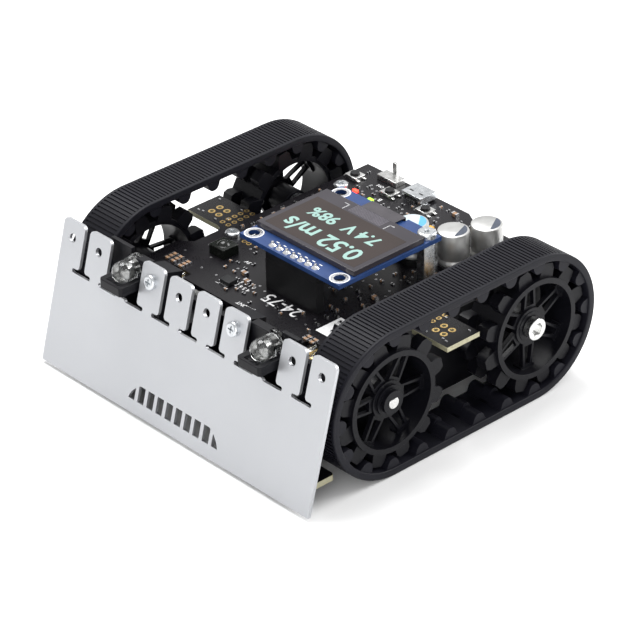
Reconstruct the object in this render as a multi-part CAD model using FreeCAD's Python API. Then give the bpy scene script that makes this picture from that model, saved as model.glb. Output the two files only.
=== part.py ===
"""Tracked line-following robot: chassis, drives, boards, blade and controls.

Millimetres.  +X is the robot's left-to-right, +Y runs from the blade to the
back, +Z is up.  Z = 0 is the ground the tracks stand on.
"""
import FreeCAD, Part
import math
import os

V = FreeCAD.Vector

# ---------------------------------------------------------------- driving sizes
# tracks and sprockets
LUG_PITCH = 9.4             # belt pitch, one lug to the next
SPROCKET_TEETH = 12
AXLE_PITCHES = 5            # lug pitches between the two axles
BELT_CORD_DEPTH = 1.55      # belt surface above the pitch line
BELT_THICKNESS = 1.9
TRACK_WIDTH = 12.5
TRACK_OUTER_X = 48.9        # outer face of each track from the centre line
LUG_HEIGHT = 2.5
LUG_BASE = 4.2
LUG_TIP = 2.4
GUIDE_WIDTH = 2.6           # taller guide lug in the middle of the belt
GUIDE_EXTRA = 0.9
LUG_PHASE_DEG = -1.9        # lug at the top of each sprocket, turned by this
TOOTH_ROW_WIDTH = 3.1
GUIDE_GAP_CLEARANCE = 0.5
TOOTH_TIP_CLEARANCE = 0.9   # tooth tips stay this far inside the belt
TOOTH_TIP_WIDTH = 2.5
TOOTH_ROOT_WIDTH = 4.6
RIM_OUTER_R = 13.2
RIM_WALL = 1.4
RIM_INSET = 0.5             # rim face inside the track's outer face
SPROCKET_INNER_X = 38.0
SPOKES = 6
SPOKE_ROOT = 4.4
SPOKE_END = 3.0
SPOKE_BAR = 0.9
WEB_X = 44.6
WEB_THICKNESS = 1.2
HUB_FLANGE_R = 4.8
HUB_FLANGE_RISE = 0.5
HUB_RISE = 1.2
HUB_R = 3.9
NOSE_R = 3.0
# drive units
DRIVE_Y = -19.9
MOTOR_WIDTH = 12.0
MOTOR_HEIGHT = 9.7
CAN_LENGTH = 15.0
GEARBOX_LENGTH = 9.0
GEARBOX_FACE_X = 33.0
PLATE = 0.8                 # brass plates of the gearbox
SHAFT_D = 3.0
SHAFT_FLAT = 0.5
SHAFT_REACH = 0.5           # shaft end inside the track's outer face
SHAFT_CLEARANCE = 0.05
ENCODER_D = 9.3
ENCODER_THICKNESS = 2.0
REAR_SHAFT_D = 1.0
# idlers
SHOULDER_D = 4.0
THREAD_D = 3.0
BOLT_HEAD_D = 5.6
BOLT_HEAD_H = 2.0
BOLT_HEX = 3.0
NUT_FLATS = 5.5
NUT_H = 2.4
RUNNING_CLEARANCE = 0.06
# power cells and chassis
CELL_D = 14.2
CELL_LENGTH = 50.0
CELLS = 4
CELL_GAP = 0.2
CONTACT_ROOM = 2.4
WALL = 1.6
THIN_WALL = 1.0
CHASSIS_BOTTOM = 3.6
COVER_THICKNESS = 1.5
CHASSIS_HALF_X = 34.2
NOSE_FRONT_GAP = 3.6        # nose of the chassis behind the blade
FIT = 0.2
# main board
BOARD_THICKNESS = 1.3
BOARD_FRONT_HALF_X = 36.4
BOARD_REAR_HALF_X = 32.5
BOARD_NECK_HALF_X = 33.2
WING_HALF_X = 46.8
WING_CLEARANCE = 2.0        # wings behind the drive sprockets' teeth
WING_LENGTH = 10.6
WING_HOLE_INSET = 3.7       # first row of plated holes behind the wing's front edge
WING_HOLE_EDGE = 5.0        # first column of holes inside the wing's end
WING_HOLE_PITCH = 2.7
BOARD_OVERHANG = 0.9        # board past the chassis at the back
# blade
BLADE_WIDTH = 98.0
BLADE_THICKNESS = 0.9
BLADE_TILT_DEG = 15.5
BLADE_HOLE_Z = 33.2
BLADE_BELOW_HOLES = 33.6
BLADE_ABOVE_HOLES = 4.4
BLADE_FRONT_GAP = 0.3       # hole line ahead of the track's front
TAB_PITCH = 10.0
TAB_SLOT = 2.0
TABS = 10
LED_TABS = (3, 8)           # tab places left open for the emitters
SCREW_TABS = (4, 7)
SLOT_DEPTH = 7.7            # slot foot below the hole line
RELIEF_LENGTH = 6.8
RELIEF_HEIGHT = 1.1
TAB_FOOT_R = 0.9
TAB_CORNER_R = 1.4
BLADE_HOLE_D = 2.3
BLADE_SCREW_D = 2.0
BLADE_SCREW_LENGTH = 8.6
BLADE_NUT_FLATS = 4.0
BLADE_NUT_H = 1.6
POST_DEPTH = 5.4            # posts that the blade is screwed to, front to back
POST_WIDTH = 6.8
GRILLE_SLOTS = 10
GRILLE_PITCH = 3.4
GRILLE_WIDTH = 2.3
GRILLE_HEIGHT = 4.2
GRILLE_BASE = 30.3          # slot bottoms below the hole line
# display
DISPLAY_W = 35.4
DISPLAY_D = 33.5
DISPLAY_T = 1.2
DISPLAY_HOLE_X = 30.4
DISPLAY_HOLE_Y = 28.5
DISPLAY_HOLE_D = 3.0
DISPLAY_X = 5.4
DISPLAY_FRONT_Y = -13.5
DISPLAY_LIFT = 10.8         # underside above the main board
GLASS_W = 34.5
GLASS_D = 23.0
GLASS_T = 1.5
GLASS_FRONT = 5.2           # glass behind the display board's front edge
PINS = 7
PIN_PITCH = 2.54
SOCKET_H = 8.5
SOCKET_W = 2.5
STANDOFF_FLATS = 4.5
# parts on the board
BUTTON_Y = 40.0
BUTTON_XS = (-29.2, -16.3, -3.4)
BUTTON_BODY = 4.2
BUTTON_BODY_D = 3.4
BUTTON_BODY_H = 1.2
BUTTON_CAP_D = 2.4
BUTTON_CAP_H = 0.6
BUTTON_TRAVEL = 0.25
CAN_D = 8.0
CAN_H = 10.2
CAN_BASE = 8.3
CAN_BASE_H = 1.4
CAN_PLACES = ((10.6, 22.3), (20.4, 26.6), (23.8, 34.6))
USB_X = -9.4
USB_W = 7.0
USB_D = 5.6
USB_H = 2.6
USB_REAR_Y = 46.4
SLIDER_PROUD = 0.5
SWITCH_X = -21.4
SWITCH_W = 7.0
SWITCH_D = 3.4
SWITCH_H = 1.5
SWITCH_TRAVEL = 1.5
SWITCH_NUB = 1.4
SWITCH_LEVER_H = 4.2
BOARD_SCREW_D = 2.2
BOARD_SCREWS = ((-28.2, 34.2), (28.6, 42.6), (-28.8, -1.9), (28.8, -1.9))
# infrared emitters and sensors
LED_R = 2.8
LED_SHIFT = 1.1              # emitter's axis beside the middle of its tab place
LED_Z = 33.0
LED_TIP_Y = -43.4
LED_BODY = 8.0
HOLDER_W = 8.3
HOLDER_BACK_Y = -34.9
BLOCK_RISE = 3.0            # block's top above the emitter's axis
BLADE_CLEARANCE = 0.05      # block behind the blade's back face
BLOCK_INNER_X = 18.75
LEAF_OUTER_X = 33.8
SENSOR_HALF_X = 45.2
SENSOR_REAR_Y = -36.0
SENSOR_DEPTH = 7.0
SENSOR_ARM_X = 25.0          # the board's middle stands back between its two arms
SENSOR_MIDDLE_Y = (-35.2, -29.4)
SENSOR_Z = 4.2
SENSOR_T = 1.6
TONGUE_HALF_X = 11.0        # middle of the sensor board, reaching back under the chassis
TONGUE_REAR_Y = -19.4
HEADER_COLUMNS = 4
HEADER_ROWS = 2
HEADER_Y = -23.2

# ------------------------------------------------------------- derived places
PITCH_R = SPROCKET_TEETH * LUG_PITCH / (2 * math.pi)
TRACK_R = PITCH_R + BELT_CORD_DEPTH
BELT_INNER_R = TRACK_R - BELT_THICKNESS
AXLE_Z = TRACK_R
IDLER_Y = DRIVE_Y + AXLE_PITCHES * LUG_PITCH
TRACK_INNER_X = TRACK_OUTER_X - TRACK_WIDTH
TRACK_MID_X = TRACK_OUTER_X - TRACK_WIDTH / 2
RIM_X = TRACK_OUTER_X - RIM_INSET
TOOTH_TIP_R = BELT_INNER_R - TOOTH_TIP_CLEARANCE
WING_FRONT_Y = DRIVE_Y + TOOTH_TIP_R + WING_CLEARANCE
CHASSIS_TOP = AXLE_Z + MOTOR_HEIGHT / 2 + 0.05
BOARD_TOP = CHASSIS_TOP + BOARD_THICKNESS
CELL_PITCH = CELL_D + CELL_GAP
MOTOR_BACK_Y = DRIVE_Y + MOTOR_WIDTH / 2
MOTOR_FRONT_Y = DRIVE_Y - MOTOR_WIDTH / 2
BAY_FRONT_Y = MOTOR_BACK_Y + THIN_WALL + FIT
BAY_REAR_Y = BAY_FRONT_Y + CELLS * CELL_PITCH + CELL_GAP
CHASSIS_REAR_Y = BAY_REAR_Y + WALL
BAY_HALF_X = CELL_LENGTH / 2 + CONTACT_ROOM
COVER_TOP = CHASSIS_BOTTOM + COVER_THICKNESS
CELL_Z = COVER_TOP + FIT + CELL_D / 2
BAY_TOP = CELL_Z + CELL_D / 2 + FIT
BOARD_REAR_Y = CHASSIS_REAR_Y + BOARD_OVERHANG
BOARD_FRONT_Y = MOTOR_FRONT_Y + 1.7
HOLE_LINE_Y = DRIVE_Y - TRACK_R + BLADE_FRONT_GAP
TILT = math.radians(BLADE_TILT_DEG)
DISPLAY_BOTTOM = BOARD_TOP + DISPLAY_LIFT
DISPLAY_TOP = DISPLAY_BOTTOM + DISPLAY_T
SIDES = (("left", -1), ("right", 1))
HEAD_R = 1.9
HEAD_H = 1.3


# ------------------------------------------------------------------- helpers
def box(x0, y0, z0, x1, y1, z1):
    return Part.makeBox(x1 - x0, y1 - y0, z1 - z0, V(x0, y0, z0))


def rod(p, direction, length, r):
    return Part.makeCylinder(r, length, V(*p), V(*direction))


def prism(points, vector):
    """Closed polygon swept along a vector."""
    loop = [V(*p) for p in points]
    return Part.Face(Part.makePolygon(loop + loop[:1])).extrude(V(*vector))


def hexagon(p, direction, flats, length):
    """Six-sided bar, flats apart across, from p along one of the axes."""
    r = flats / math.sqrt(3)
    ring = []
    for k in range(6):
        a, b = r * math.cos(k * math.pi / 3), r * math.sin(k * math.pi / 3)
        if abs(direction[0]) > 0.5:
            ring.append((p[0], p[1] + a, p[2] + b))
        elif abs(direction[1]) > 0.5:
            ring.append((p[0] + a, p[1], p[2] + b))
        else:
            ring.append((p[0] + a, p[1] + b, p[2]))
    return prism(ring, [length * c for c in direction])


def fuse(shapes):
    whole = shapes[0]
    if len(shapes) > 1:
        whole = whole.fuse(shapes[1:])
    return whole.removeSplitter()


def cut(shape, tools):
    return shape.cut(tools).removeSplitter()


def mirrored(shape):
    return shape.mirror(V(0, 0, 0), V(1, 0, 0))


def for_side(sign, shape):
    """Shapes are drawn for the +X side and mirrored to the other."""
    return shape if sign > 0 else mirrored(shape)


def save(name, *shapes):
    solids = [s for shape in shapes for s in shape.Solids]
    whole = solids[0] if len(solids) == 1 else Part.makeCompound(solids)
    whole.exportStep(os.path.join("parts", name + ".step"))


def blade_point(x, below, out=0.0):
    """Point on the blade: below the hole line, and out of its front face."""
    y = HOLE_LINE_Y - below * math.sin(TILT) - out * math.cos(TILT)
    z = BLADE_HOLE_Z - below * math.cos(TILT) + out * math.sin(TILT)
    return (x, y, z)


def blade_back_y(z):
    """Where the blade's back face stands at a height."""
    return HOLE_LINE_Y + (z - BLADE_HOLE_Z) * math.tan(TILT) + BLADE_THICKNESS / math.cos(TILT)


BLADE_IN = (0, math.cos(TILT), -math.sin(TILT))


def tab_x(k):
    return (k - (TABS + 1) / 2) * TAB_PITCH


# ------------------------------------------------------------------ tracks
def track():
    """Belt loop with one lug to each pitch, round both sprockets."""
    x0 = TRACK_INNER_X

    def loop(r, width, x):
        ends = [rod((x, y, AXLE_Z), (1, 0, 0), width, r) for y in (DRIVE_Y, IDLER_Y)]
        middle = box(x, DRIVE_Y, AXLE_Z - r, x + width, IDLER_Y, AXLE_Z + r)
        return fuse([middle] + ends)

    belt = cut(loop(TRACK_R, TRACK_WIDTH, x0), [loop(BELT_INNER_R, TRACK_WIDTH, x0)])

    def lug(width, height, tip):
        deep = 0.3
        half, end = LUG_BASE / 2, tip / 2
        outline = [(-width / 2, -half, BELT_INNER_R + deep), (-width / 2, half, BELT_INNER_R + deep),
                   (-width / 2, end, BELT_INNER_R - height), (-width / 2, -end, BELT_INNER_R - height)]
        return prism(outline, (width, 0, 0))

    one = fuse([lug(TRACK_WIDTH - 0.8, LUG_HEIGHT, LUG_TIP),
                lug(GUIDE_WIDTH, LUG_HEIGHT + GUIDE_EXTRA, LUG_TIP - 0.6)])
    lugs = []
    step = 360.0 / SPROCKET_TEETH
    shift = math.radians(-LUG_PHASE_DEG) * PITCH_R
    for k in range(SPROCKET_TEETH // 2 + 1):
        for centre, first in ((DRIVE_Y, 0), (IDLER_Y, 180)):
            angle = LUG_PHASE_DEG + first + k * step
            on_arc = 0 < (angle - first) < 180
            if on_arc:
                turned = one.copy()
                turned.rotate(V(0, 0, 0), V(1, 0, 0), angle)
                turned.translate(V(TRACK_MID_X, centre, AXLE_Z))
                lugs.append(turned)
    for k in range(AXLE_PITCHES + 1):
        for sign, turn, start in ((1, 0, shift), (-1, 180, -shift)):
            y = DRIVE_Y + start + k * LUG_PITCH
            if DRIVE_Y <= y <= IDLER_Y:
                flat = one.copy()
                flat.rotate(V(0, 0, 0), V(1, 0, 0), turn)
                flat.translate(V(TRACK_MID_X, y, AXLE_Z))
                lugs.append(flat)
    return fuse([belt] + lugs)


# --------------------------------------------------------------- sprockets
def sprocket(centre_y, spoke_phase, bore_tool, hub_x, nose_x):
    """Spoked wheel with two rows of teeth on a rim, and a hub with a bore."""
    inner = SPROCKET_INNER_X
    at = (inner, centre_y, AXLE_Z)
    length = RIM_X - inner
    rim = cut(rod(at, (1, 0, 0), length, RIM_OUTER_R),
              [rod(at, (1, 0, 0), length, RIM_OUTER_R - RIM_WALL)])
    gap = GUIDE_WIDTH / 2 + GUIDE_GAP_CLEARANCE
    teeth = []
    half_tip, half_root = TOOTH_TIP_WIDTH / 2, TOOTH_ROOT_WIDTH / 2
    root, tip = RIM_OUTER_R - 0.6, TOOTH_TIP_R
    shoulder = tip - 1.1
    for x in (TRACK_MID_X - gap - TOOTH_ROW_WIDTH, TRACK_MID_X + gap):
        outline = [(x, -half_root, root), (x, half_root, root),
                   (x, half_root - 0.3, shoulder), (x, half_tip, tip),
                   (x, -half_tip, tip), (x, -half_root + 0.3, shoulder)]
        one = prism(outline, (TOOTH_ROW_WIDTH, 0, 0))
        one.translate(V(0, centre_y, AXLE_Z))
        for k in range(SPROCKET_TEETH):
            tooth = one.copy()
            angle = LUG_PHASE_DEG + (k + 0.5) * 360.0 / SPROCKET_TEETH
            tooth.rotate(V(0, centre_y, AXLE_Z), V(1, 0, 0), angle)
            teeth.append(tooth)
    web = []
    reach = RIM_OUTER_R - RIM_WALL / 2
    for k in range(SPOKES):
        a, b = SPOKE_ROOT / 2, SPOKE_END / 2
        outer = prism([(WEB_X, -a, 0), (WEB_X, a, 0), (WEB_X, b, reach), (WEB_X, -b, reach)],
                      (WEB_THICKNESS, 0, 0))
        a, b = a - SPOKE_BAR, b - SPOKE_BAR * 0.8
        start, end = HUB_FLANGE_R + 0.7, RIM_OUTER_R - RIM_WALL - 1.0
        slot = prism([(WEB_X, -a, start), (WEB_X, a, start), (WEB_X, b, end), (WEB_X, -b, end)],
                     (WEB_THICKNESS, 0, 0))
        foot_z = RIM_OUTER_R - RIM_WALL - 0.7
        foot = box(WEB_X - 1.6, -2.2, foot_z, WEB_X + WEB_THICKNESS, 2.2, foot_z + 1.1)
        arm = fuse([outer.cut(slot), foot])
        arm.rotate(V(0, 0, 0), V(1, 0, 0), spoke_phase + k * 360.0 / SPOKES)
        arm.translate(V(0, centre_y, AXLE_Z))
        web.append(arm)
    flange = rod((WEB_X, centre_y, AXLE_Z), (1, 0, 0), WEB_THICKNESS + HUB_FLANGE_RISE, HUB_FLANGE_R)
    hub = rod(at, (1, 0, 0), hub_x - inner, HUB_R)
    nose = rod(at, (1, 0, 0), nose_x - inner, NOSE_R)
    return cut(fuse([rim] + teeth + web + [flange, hub, nose]), [bore_tool])


def shaft_section(r, flat, x0, x1):
    """D-shaped bar along X at the drive axle."""
    bar = rod((x0, DRIVE_Y, AXLE_Z), (1, 0, 0), x1 - x0, r)
    return bar.cut(box(x0, DRIVE_Y - r, AXLE_Z + r - flat, x1, DRIVE_Y + r, AXLE_Z + 2 * r))


SHAFT_END_X = TRACK_OUTER_X - SHAFT_REACH
BORE_START_X = SPROCKET_INNER_X - 0.1


def drive_sprocket():
    c = SHAFT_CLEARANCE
    bore = shaft_section(SHAFT_D / 2 + c, SHAFT_FLAT, BORE_START_X, SHAFT_END_X + 1)
    hub_x = WEB_X + WEB_THICKNESS + HUB_RISE
    return sprocket(DRIVE_Y, LUG_PHASE_DEG - 90, bore, hub_x, SHAFT_END_X - 0.2)


BOLT_HEAD_X = TRACK_OUTER_X - 0.3 - BOLT_HEAD_H
IDLER_NOSE_X = BOLT_HEAD_X - 0.15


def idler_sprocket():
    r = SHOULDER_D / 2 + RUNNING_CLEARANCE
    bore = rod((BORE_START_X, IDLER_Y, AXLE_Z), (1, 0, 0), IDLER_NOSE_X + 1 - BORE_START_X, r)
    return sprocket(IDLER_Y, LUG_PHASE_DEG - 60, bore, IDLER_NOSE_X, IDLER_NOSE_X)


def shoulder_bolt():
    """Head, ground shoulder that the idler turns on, and a threaded end."""
    seat = CHASSIS_HALF_X
    head = rod((BOLT_HEAD_X, IDLER_Y, AXLE_Z), (1, 0, 0), BOLT_HEAD_H, BOLT_HEAD_D / 2)
    socket = hexagon((BOLT_HEAD_X + BOLT_HEAD_H - 1.2, IDLER_Y, AXLE_Z), (1, 0, 0), BOLT_HEX, 1.2)
    shoulder = rod((seat, IDLER_Y, AXLE_Z), (1, 0, 0), BOLT_HEAD_X - seat, SHOULDER_D / 2)
    end = seat - WALL - NUT_H - 1.2
    thread = rod((end, IDLER_Y, AXLE_Z), (1, 0, 0), seat - end, THREAD_D / 2)
    return cut(fuse([head, shoulder, thread]), [socket])


def idler_washer():
    x = CHASSIS_HALF_X
    length = SPROCKET_INNER_X - 0.25 - x
    outer = rod((x, IDLER_Y, AXLE_Z), (1, 0, 0), length, 3.4)
    return cut(outer, [rod((x, IDLER_Y, AXLE_Z), (1, 0, 0), length, SHOULDER_D / 2)])


def idler_nut():
    x = CHASSIS_HALF_X - WALL - NUT_H
    nut = hexagon((x, IDLER_Y, AXLE_Z), (1, 0, 0), NUT_FLATS, NUT_H)
    return cut(nut, [rod((x, IDLER_Y, AXLE_Z), (1, 0, 0), NUT_H, THREAD_D / 2)])


# -------------------------------------------------------------- drive units
CAN_END_X = GEARBOX_FACE_X - GEARBOX_LENGTH
CAN_START_X = CAN_END_X - CAN_LENGTH


def motor_can():
    """Round can with two flats and the rear boss."""
    half_w, half_h = MOTOR_WIDTH / 2, MOTOR_HEIGHT / 2
    can = rod((CAN_START_X, DRIVE_Y, AXLE_Z), (1, 0, 0), CAN_LENGTH, half_w)
    flats = box(CAN_START_X, DRIVE_Y - half_w, AXLE_Z - half_h,
                CAN_END_X, DRIVE_Y + half_w, AXLE_Z + half_h)
    boss = rod((CAN_START_X - 0.6, DRIVE_Y, AXLE_Z), (1, 0, 0), 0.6, 2.0)
    hole = rod((CAN_START_X - 1, DRIVE_Y, AXLE_Z), (1, 0, 0), 3.0, REAR_SHAFT_D / 2 + RUNNING_CLEARANCE)
    return cut(fuse([can.common(flats), boss]), [hole])


def gearbox():
    """Two brass end plates held apart by posts, with the output bush."""
    half_w, half_h = MOTOR_WIDTH / 2, MOTOR_HEIGHT / 2
    parts = []
    for x in (CAN_END_X, GEARBOX_FACE_X - PLATE):
        parts.append(box(x, DRIVE_Y - half_w, AXLE_Z - half_h, x + PLATE, DRIVE_Y + half_w, AXLE_Z + half_h))
    for y, z in ((-4.6, 3.4), (4.6, 3.4), (-4.6, -3.4), (4.6, -3.4)):
        parts.append(rod((CAN_END_X, DRIVE_Y + y, AXLE_Z + z), (1, 0, 0), GEARBOX_LENGTH, 0.9))
    parts.append(rod((GEARBOX_FACE_X - PLATE, DRIVE_Y, AXLE_Z), (1, 0, 0), PLATE + 0.7, 2.2))
    hole = rod((GEARBOX_FACE_X - PLATE - 1, DRIVE_Y, AXLE_Z), (1, 0, 0), 4, SHAFT_D / 2 + RUNNING_CLEARANCE)
    return cut(fuse(parts), [hole])


def output_shaft():
    """D shaft with its last gear wheel inside the gearbox."""
    start = CAN_END_X + PLATE + 0.6
    round_end = GEARBOX_FACE_X + 1.2
    journal = rod((start, DRIVE_Y, AXLE_Z), (1, 0, 0), round_end - start, SHAFT_D / 2)
    gear = rod((GEARBOX_FACE_X - PLATE - 3.2, DRIVE_Y, AXLE_Z), (1, 0, 0), 2.6, 3.1)
    return fuse([journal, shaft_section(SHAFT_D / 2, SHAFT_FLAT, round_end, SHAFT_END_X), gear])


def encoder_disc():
    """Magnet disc pressed on the motor's rear shaft."""
    x = CAN_START_X - 1.6 - ENCODER_THICKNESS
    disc = rod((x, DRIVE_Y, AXLE_Z), (1, 0, 0), ENCODER_THICKNESS, ENCODER_D / 2)
    pin = rod((x - 0.6, DRIVE_Y, AXLE_Z), (1, 0, 0), CAN_START_X + 1.4 - x, REAR_SHAFT_D / 2)
    return fuse([disc, pin])


# ----------------------------------------------------------------- chassis
NOSE_BOTTOM = SENSOR_Z + SENSOR_T
PORCH_REAR_Y = MOTOR_FRONT_Y - FIT - WALL


def nose_edge_y(z):
    """Front face of the nose, a fixed gap behind the sloping blade."""
    lean = (BLADE_HOLE_Z - z) * math.tan(TILT)
    return HOLE_LINE_Y - lean + BLADE_THICKNESS / math.cos(TILT) + NOSE_FRONT_GAP


def mount_posts():
    """Two slanting posts that carry the blade on their front faces."""
    posts = []
    for k in SCREW_TABS:
        x = tab_x(k) - POST_WIDTH / 2
        outline = [blade_point(x, below, -BLADE_THICKNESS - deep)
                   for below, deep in ((-BLADE_ABOVE_HOLES + 0.8, 0), (-BLADE_ABOVE_HOLES + 0.8, POST_DEPTH),
                                       (SLOT_DEPTH + 8, POST_DEPTH), (SLOT_DEPTH + 8, 0))]
        posts.append(prism(outline, (POST_WIDTH, 0, 0)))
    return posts


def chassis_body():
    half = CHASSIS_HALF_X
    main = box(-half, PORCH_REAR_Y, CHASSIS_BOTTOM, half, CHASSIS_REAR_Y, CHASSIS_TOP)
    foot_y = nose_edge_y(NOSE_BOTTOM)
    step_z = CHASSIS_TOP - 3.0
    nose_points = [(-half + 1, foot_y, NOSE_BOTTOM), (-half + 1, nose_edge_y(step_z), step_z),
                   (-half + 1, PORCH_REAR_Y + 1, step_z), (-half + 1, PORCH_REAR_Y + 1, NOSE_BOTTOM)]
    nose = prism(nose_points, (2 * half - 2, 0, 0))
    body = fuse([main, nose] + mount_posts())
    tools = []
    # cell compartment, open at the bottom, with the cover's rebate
    tools.append(box(-BAY_HALF_X, BAY_FRONT_Y, COVER_TOP - 0.01, BAY_HALF_X, BAY_REAR_Y, BAY_TOP))
    tools.append(box(-BAY_HALF_X - 1.2, BAY_FRONT_Y - 0.6, CHASSIS_BOTTOM - 1,
                     BAY_HALF_X + 1.2, BAY_REAR_Y + 0.6, COVER_TOP))
    # lightening pockets between the compartment roof and the deck
    pocket_half = BAY_HALF_X - 2.6
    tools.append(box(-pocket_half, BAY_FRONT_Y + 2, BAY_TOP + WALL, pocket_half, BAY_REAR_Y - 2, CHASSIS_TOP + 1))
    # bay for the two drive units
    bay_low = AXLE_Z - MOTOR_HEIGHT / 2 - 0.1
    tools.append(box(-GEARBOX_FACE_X - 0.05, MOTOR_FRONT_Y - FIT, bay_low,
                     GEARBOX_FACE_X + 0.05, MOTOR_BACK_Y + FIT, CHASSIS_TOP + 1))
    # notch for the sensor board's tongue, and a slot for its header
    tools.append(box(-TONGUE_HALF_X - FIT, PORCH_REAR_Y - 1, CHASSIS_BOTTOM - 1,
                     TONGUE_HALF_X + FIT, PORCH_REAR_Y + WALL + 1, NOSE_BOTTOM))
    slot_half = HEADER_COLUMNS * PIN_PITCH / 2 - 0.6 + FIT
    tools.append(box(-slot_half, HEADER_Y - 1.2 - FIT, bay_low - WALL - 1, slot_half,
                     HEADER_Y + PIN_PITCH * (HEADER_ROWS - 1) + 1.2 + FIT, bay_low + 1))
    # hollow under the drive units
    tools.append(box(-half + WALL, PORCH_REAR_Y + WALL, CHASSIS_BOTTOM - 1,
                     half - WALL, MOTOR_BACK_Y - 1.0, bay_low - WALL))
    # hollow nose behind its front wall, open above the deck step
    for x0, x1 in ((-half + 1 + WALL, -20.5), (-9.5, 9.5), (20.5, half - 1 - WALL)):
        low_y, high_y = nose_edge_y(NOSE_BOTTOM + WALL), nose_edge_y(step_z)
        pocket = [(x0, low_y + WALL, NOSE_BOTTOM + WALL), (x0, high_y + WALL, step_z + 1),
                  (x0, PORCH_REAR_Y, step_z + 1), (x0, PORCH_REAR_Y, NOSE_BOTTOM + WALL)]
        tools.append(prism(pocket, (x1 - x0, 0, 0)))
    for sign in (-1, 1):
        start = sign * (GEARBOX_FACE_X - 1)
        tools.append(rod((start, DRIVE_Y, AXLE_Z), (sign, 0, 0), 3, 2.6))
        start = sign * (half - WALL - NUT_H - 1.5)
        tools.append(rod((start, IDLER_Y, AXLE_Z), (sign, 0, 0), NUT_H + WALL + 2, THREAD_D / 2))
        nut_x = sign * (half - WALL)
        tools.append(hexagon((nut_x, IDLER_Y, AXLE_Z), (-sign, 0, 0), NUT_FLATS, NUT_H + 0.6))
        # slot to drop the nut in from the deck
        x0, x1 = sorted((nut_x, nut_x - sign * (NUT_H + 0.6)))
        flats = NUT_FLATS / 2
        corner = NUT_FLATS / math.sqrt(3)
        tools.append(box(x0, IDLER_Y - corner, AXLE_Z, x1, IDLER_Y + corner, CHASSIS_TOP + 1))
    for k in SCREW_TABS:
        p = blade_point(tab_x(k), 0, -BLADE_THICKNESS + 0.2)
        tools.append(rod(p, BLADE_IN, POST_DEPTH + 1, BLADE_HOLE_D / 2))
    for x, y in BOARD_SCREWS:
        tools.append(rod((x, y, CHASSIS_TOP - 5), (0, 0, 1), 6, BOARD_SCREW_D / 2 - 0.1))
    for tool in tools:
        body = body.cut(tool)
    return body.removeSplitter()


def battery_cover():
    """Snap-in lid: plate, two hook tongues in front, a latch at the back."""
    plate = box(-BAY_HALF_X - 1.2 + FIT, BAY_FRONT_Y - 0.6 + FIT, CHASSIS_BOTTOM,
                BAY_HALF_X + 1.2 - FIT, BAY_REAR_Y + 0.6 - FIT, COVER_TOP - 0.05)
    grooves = []
    for k in range(CELLS - 1):
        y = BAY_FRONT_Y + CELL_GAP / 2 + (k + 1) * CELL_PITCH
        grooves.append(box(-BAY_HALF_X + 3, y - 0.6, CHASSIS_BOTTOM - 1, BAY_HALF_X - 3, y + 0.6, CHASSIS_BOTTOM + 0.5))
    return cut(plate, grooves)


def power_cells():
    cells = []
    for k in range(CELLS):
        y = BAY_FRONT_Y + CELL_GAP + CELL_D / 2 + k * CELL_PITCH
        sign = 1 if k % 2 else -1
        body = rod((-sign * CELL_LENGTH / 2, y, CELL_Z), (sign, 0, 0), CELL_LENGTH - 1.2, CELL_D / 2)
        tip = rod((sign * (CELL_LENGTH / 2 - 1.2), y, CELL_Z), (sign, 0, 0), 1.2, 2.7)
        cells.append(fuse([body, tip]))
    return cells


def cell_contacts():
    """Sprung contact blades pressed against both ends of every cell."""
    blades = []
    for k in range(CELLS):
        y = BAY_FRONT_Y + CELL_GAP + CELL_D / 2 + k * CELL_PITCH
        for sign in (-1, 1):
            x = sign * (BAY_HALF_X - 0.4)
            x0, x1 = sorted((x, x + sign * 0.4))
            plate = box(x0, y - 5.2, CELL_Z - 4.5, x1, y + 5.2, CELL_Z + 5.5)
            dimple = rod((x, y, CELL_Z), (-sign, 0, 0), CONTACT_ROOM - 0.45, 2.4)
            core = rod((x, y, CELL_Z), (-sign, 0, 0), CONTACT_ROOM - 0.45, 1.7)
            ring = dimple.cut(core)
            blades.append(fuse([plate, ring]))
    return blades


# -------------------------------------------------------------- main board
def board_outline():
    """Front part, narrow waist, two wings through the tracks, rear part."""
    wing_back = WING_FRONT_Y + WING_LENGTH
    waist_front = BOARD_FRONT_Y + 13.6
    right = [(BOARD_FRONT_HALF_X, BOARD_FRONT_Y), (BOARD_FRONT_HALF_X, waist_front - 2.6),
             (BOARD_NECK_HALF_X, waist_front), (BOARD_NECK_HALF_X, WING_FRONT_Y),
             (WING_HALF_X, WING_FRONT_Y), (WING_HALF_X, wing_back),
             (BOARD_REAR_HALF_X, wing_back)]
    left = [(-x, y) for x, y in reversed(right)]
    step = 1.6
    back = [(BOARD_REAR_HALF_X, BOARD_REAR_Y - step), (7.6, BOARD_REAR_Y - step),
            (4.6, BOARD_REAR_Y), (-BOARD_REAR_HALF_X, BOARD_REAR_Y)]
    return right + back + left


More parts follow.
